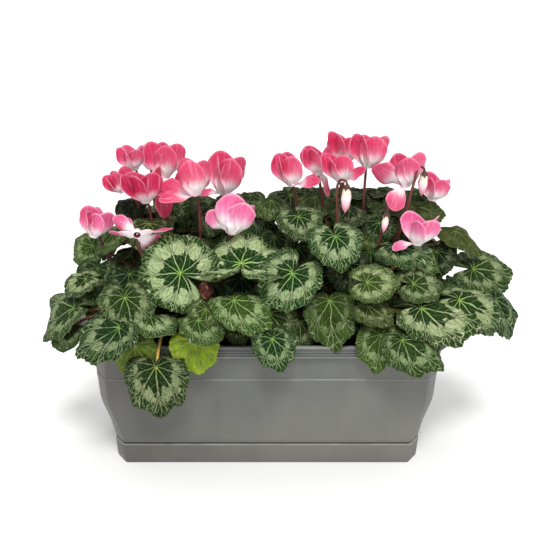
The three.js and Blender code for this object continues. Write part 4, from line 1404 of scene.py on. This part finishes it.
def add_calyx(bm, frame_of, height):
    """Five short pointed sepals round the top of the tube, closed to the stalk."""
    size = {"radius1": CALYX, "radius2": CALYX_TOP * 0.6, "depth": CALYX_HEIGHT}
    made = bmesh.ops.create_cone(bm, cap_ends=True, segments=30, **size)["verts"]
    for vert in made:
        if vert.co.z < 0 and vert.co.xy.length > 0.001:
            point = max(0, cos(5 * atan2(vert.co.y, vert.co.x))) ** 1.5
            vert.co.z -= SEPAL_POINT * point
            vert.co.xy *= 0.94 + 0.2 * point
    place = Matrix.Translation((0, 0, height + GAP + CALYX_HEIGHT / 2))
    bmesh.ops.transform(bm, matrix=frame_of @ place, verts=made)


def bud_piece(name, bud, skin, slot, node, pleat=0.1, girth=1.0):
    """A bud with its petals rolled to a point. pleat: how deep its furrows are. girth: how stout it is."""
    bm = bmesh.new()
    plan = bm.loops.layers.uv.new("petal")
    length = bud.length
    outline = [(radius * girth * length, height * length) for radius, height in BUD_OUTLINE]
    turned(bm, [(0.0002, 0), *outline, (NECK, length), (0.0003, length)], 40)
    bmesh.ops.remove_doubles(bm, verts=bm.verts, dist=1e-6)
    bmesh.ops.holes_fill(bm, edges=[e for e in bm.edges if e.is_boundary], sides=60)
    upright = [e for e in bm.edges if abs(e.verts[0].co.z - e.verts[1].co.z) > 1e-5]
    bmesh.ops.subdivide_edges(bm, edges=upright, cuts=1)
    for face in bm.faces:
        for corner in face.loops:
            co = corner.vert.co
            corner[plan].uv = (0.5 + atan2(co.y, co.x) / (2 * pi), co.z / length)
    for vert in bm.verts:
        around = atan2(vert.co.y, vert.co.x) - 3.5 * vert.co.z / length
        vert.co.xy *= 1 + pleat * (abs(sin(2.5 * around)) - 0.5) * smooth(vert.co.z / length, 1.0, 0.85)
    bmesh.ops.recalc_face_normals(bm, faces=bm.faces)
    bmesh.ops.transform(bm, matrix=bloom_frame(bud), verts=bm.verts)
    piece(name, bm, [skin], slot, node, sharp=60)


# ---------------------------------------------------------------- the plants


def foliage(side, leaves, young, seed, skins):
    """The blades: the first half of the large ones, the other half, and the small ones."""
    dice = random.Random(seed)
    half = len(leaves) // 2
    large = [(leaf, BENDS[side].get(number, USUAL_BENDS)) for number, leaf in enumerate(leaves)]
    groups = (
        ("front", large[:half], "sheet"),
        ("upper", large[half:], "sheet"),
        ("young", [(leaf, USUAL_BENDS) for leaf in young], "young_sheet"),
    )
    for part, group, sheet in groups:
        bm = bmesh.new()
        for leaf, bends in group:
            add_blade(bm, skins[sheet], leaf, dice, bends)
        blades = piece(f"{side}_{part}_leaves", bm, skins["leaf"], "foliage", f"{side}_plant", sharp=80)
        thicken(blades, LEAF_THICKNESS)


def leaf_stalks(side, leaves, crown, skins):
    bm = bmesh.new()
    for i, leaf in enumerate(leaves):
        pale = leaf.yellow > 0.5 or i in PALE_STALKS
        thick = STALK_RADIUS * (1.25 if pale else 1)
        path = leaf_stalk_path(leaf, crown, i)
        add_tube(bm, path, (thick * 1.25, thick * 0.8), material=int(pale))
    piece(f"{side}_leaf_stalks", bm, skins["stalk"], "foliage", f"{side}_plant", sharp=80)


def flower_stalks(side, flowers, crown, skins):
    """The flower stalks and their calyxes. flowers: each with its calyx's height over its mouth."""
    bm = bmesh.new()
    for flower, height in flowers:
        path = flower_stalk_path(flower, height, crown)
        add_tube(bm, path, (FLOWER_STALK_RADIUS * 0.8, FLOWER_STALK_RADIUS * 1.15))
    piece(f"{side}_flower_stalks", bm, [skins["flower_stalk"]], "foliage", f"{side}_plant", sharp=80)
    bm = bmesh.new()
    for flower, height in flowers:
        add_calyx(bm, bloom_frame(flower), height)
    piece(f"{side}_calyxes", bm, [skins["calyx"]], "foliage", f"{side}_plant", sharp=50)


def tuber(side, crown, skins):
    bm = bmesh.new()
    made = bmesh.ops.create_uvsphere(bm, u_segments=36, v_segments=18, radius=TUBER_RADIUS)["verts"]
    for vert in made:
        vert.co.z *= TUBER_HEIGHT / 2 / TUBER_RADIUS
        vert.co *= 1 + 0.03 * sin(7 * atan2(vert.co.y, vert.co.x)) - 0.02
    bmesh.ops.translate(bm, vec=(*crown, TUBER_CENTRE), verts=made)
    piece(f"{side}_tuber", bm, [skins["tuber"]], "foliage", f"{side}_plant", sharp=80)


def plant(side, skins):
    leaf_rows, bloom_rows, bud_rows, seed = PLANTS[side]
    crown = CROWNS[side]
    leaves = [Leaf(*row) for row in leaf_rows] + back_leaves(crown, seed)
    young = young_leaves(crown, seed) + fill_leaves(side)
    buds = [Bud(*row) for row in bud_rows]
    withered = [Bud(*row) for row in WITHERED_BUDS[side]]
    flowers = [(Bloom(*row), TUBE) for row in bloom_rows] + [(bud, bud.length) for bud in buds + withered]

    foliage(side, leaves, young, seed, skins)
    leaf_stalks(side, leaves + young, crown, skins)
    flower_stalks(side, flowers, crown, skins)
    tuber(side, crown, skins)
    blooms_of(side, bloom_rows, seed, skins["petal"])
    for number, bud in enumerate(buds, 1):
        name = f"{side}_bud_{number}"
        bud_piece(f"{name}_roll", bud, skins["bud"], "bud", name)
    for number, bud in enumerate(withered, 1):
        name = f"{side}_withered_bud_{number}"
        bud_piece(name, bud, skins["withered"], "foliage", f"{side}_plant", pleat=0.5, girth=1.7)


def plants():
    brown = stalk_skin("leaf_stalk", screen(96, 58, 44), screen(128, 84, 54))
    tan = stalk_skin("pale_stalk", screen(188, 146, 64), screen(206, 178, 104))
    skins = {
        "sheet": blade_sheet(LEAF_RINGS, LEAF_SPOKES),
        "young_sheet": blade_sheet(YOUNG_LEAF_RINGS, YOUNG_LEAF_SPOKES),
        "leaf": [leaf_top(), leaf_underside(), leaf_edge()],
        "stalk": [brown, tan],
        "flower_stalk": stalk_skin("flower_stalk", screen(76, 34, 34), screen(112, 58, 48)),
        "calyx": calyx_skin(),
        "tuber": tuber_skin(),
        "bud": bud_skin(),
        "withered": withered_skin(),
        "petal": [
            petal_skin("petal_outside", screen(226, 72, 114), screen(240, 126, 156), 0.33, 0.95),
            petal_skin("petal_inside", screen(214, 50, 98), screen(232, 96, 136), 0.22, 1.0),
            petal_edge(),
            tube_skin(),
            mouth_skin(),
        ],
    }
    for side in PLANTS:
        plant(side, skins)
    bpy.data.meshes.remove(skins["sheet"])
    bpy.data.meshes.remove(skins["young_sheet"])


# ---------------------------------------------------------------- the studio


def camera():
    """Looks down a little on the box, from in front."""
    lens = bpy.data.cameras.new("camera")
    lens.lens = 80
    lens.sensor_width = 36
    eye = stand("camera", lens)
    down = radians(CAMERA_DOWN)
    eye.location = Vector(CAMERA_TARGET) + Vector((0, -cos(down), sin(down))) * CAMERA_AWAY
    eye.rotation_euler = (pi / 2 - down, 0, 0)
    bpy.context.scene.camera = eye


def studio():
    """A pale floor, a bright even surround and one soft lamp high in front."""
    world = bpy.data.worlds.new("surround")
    world.use_nodes = True
    sky = world.node_tree.nodes["Background"]
    sky.inputs["Color"].default_value = (1, 1, 1, 1)
    sky.inputs["Strength"].default_value = 0.82
    bpy.context.scene.world = world
    sun = bpy.data.lights.new("key", "SUN")
    sun.energy = 2.0
    sun.angle = radians(16)
    stand("key", sun).rotation_euler = Vector(SUN_FROM).to_track_quat("Z", "Y").to_euler()

    bm = bmesh.new()
    bmesh.ops.create_grid(bm, x_segments=1, y_segments=1, size=40)
    floor = stand("floor", mesh_of("floor", bm))
    floor.data.materials.append(pale_floor())
    bpy.context.scene.view_settings.view_transform = "Standard"


camera()
tray()
window_box()
soil()
plants()
studio()
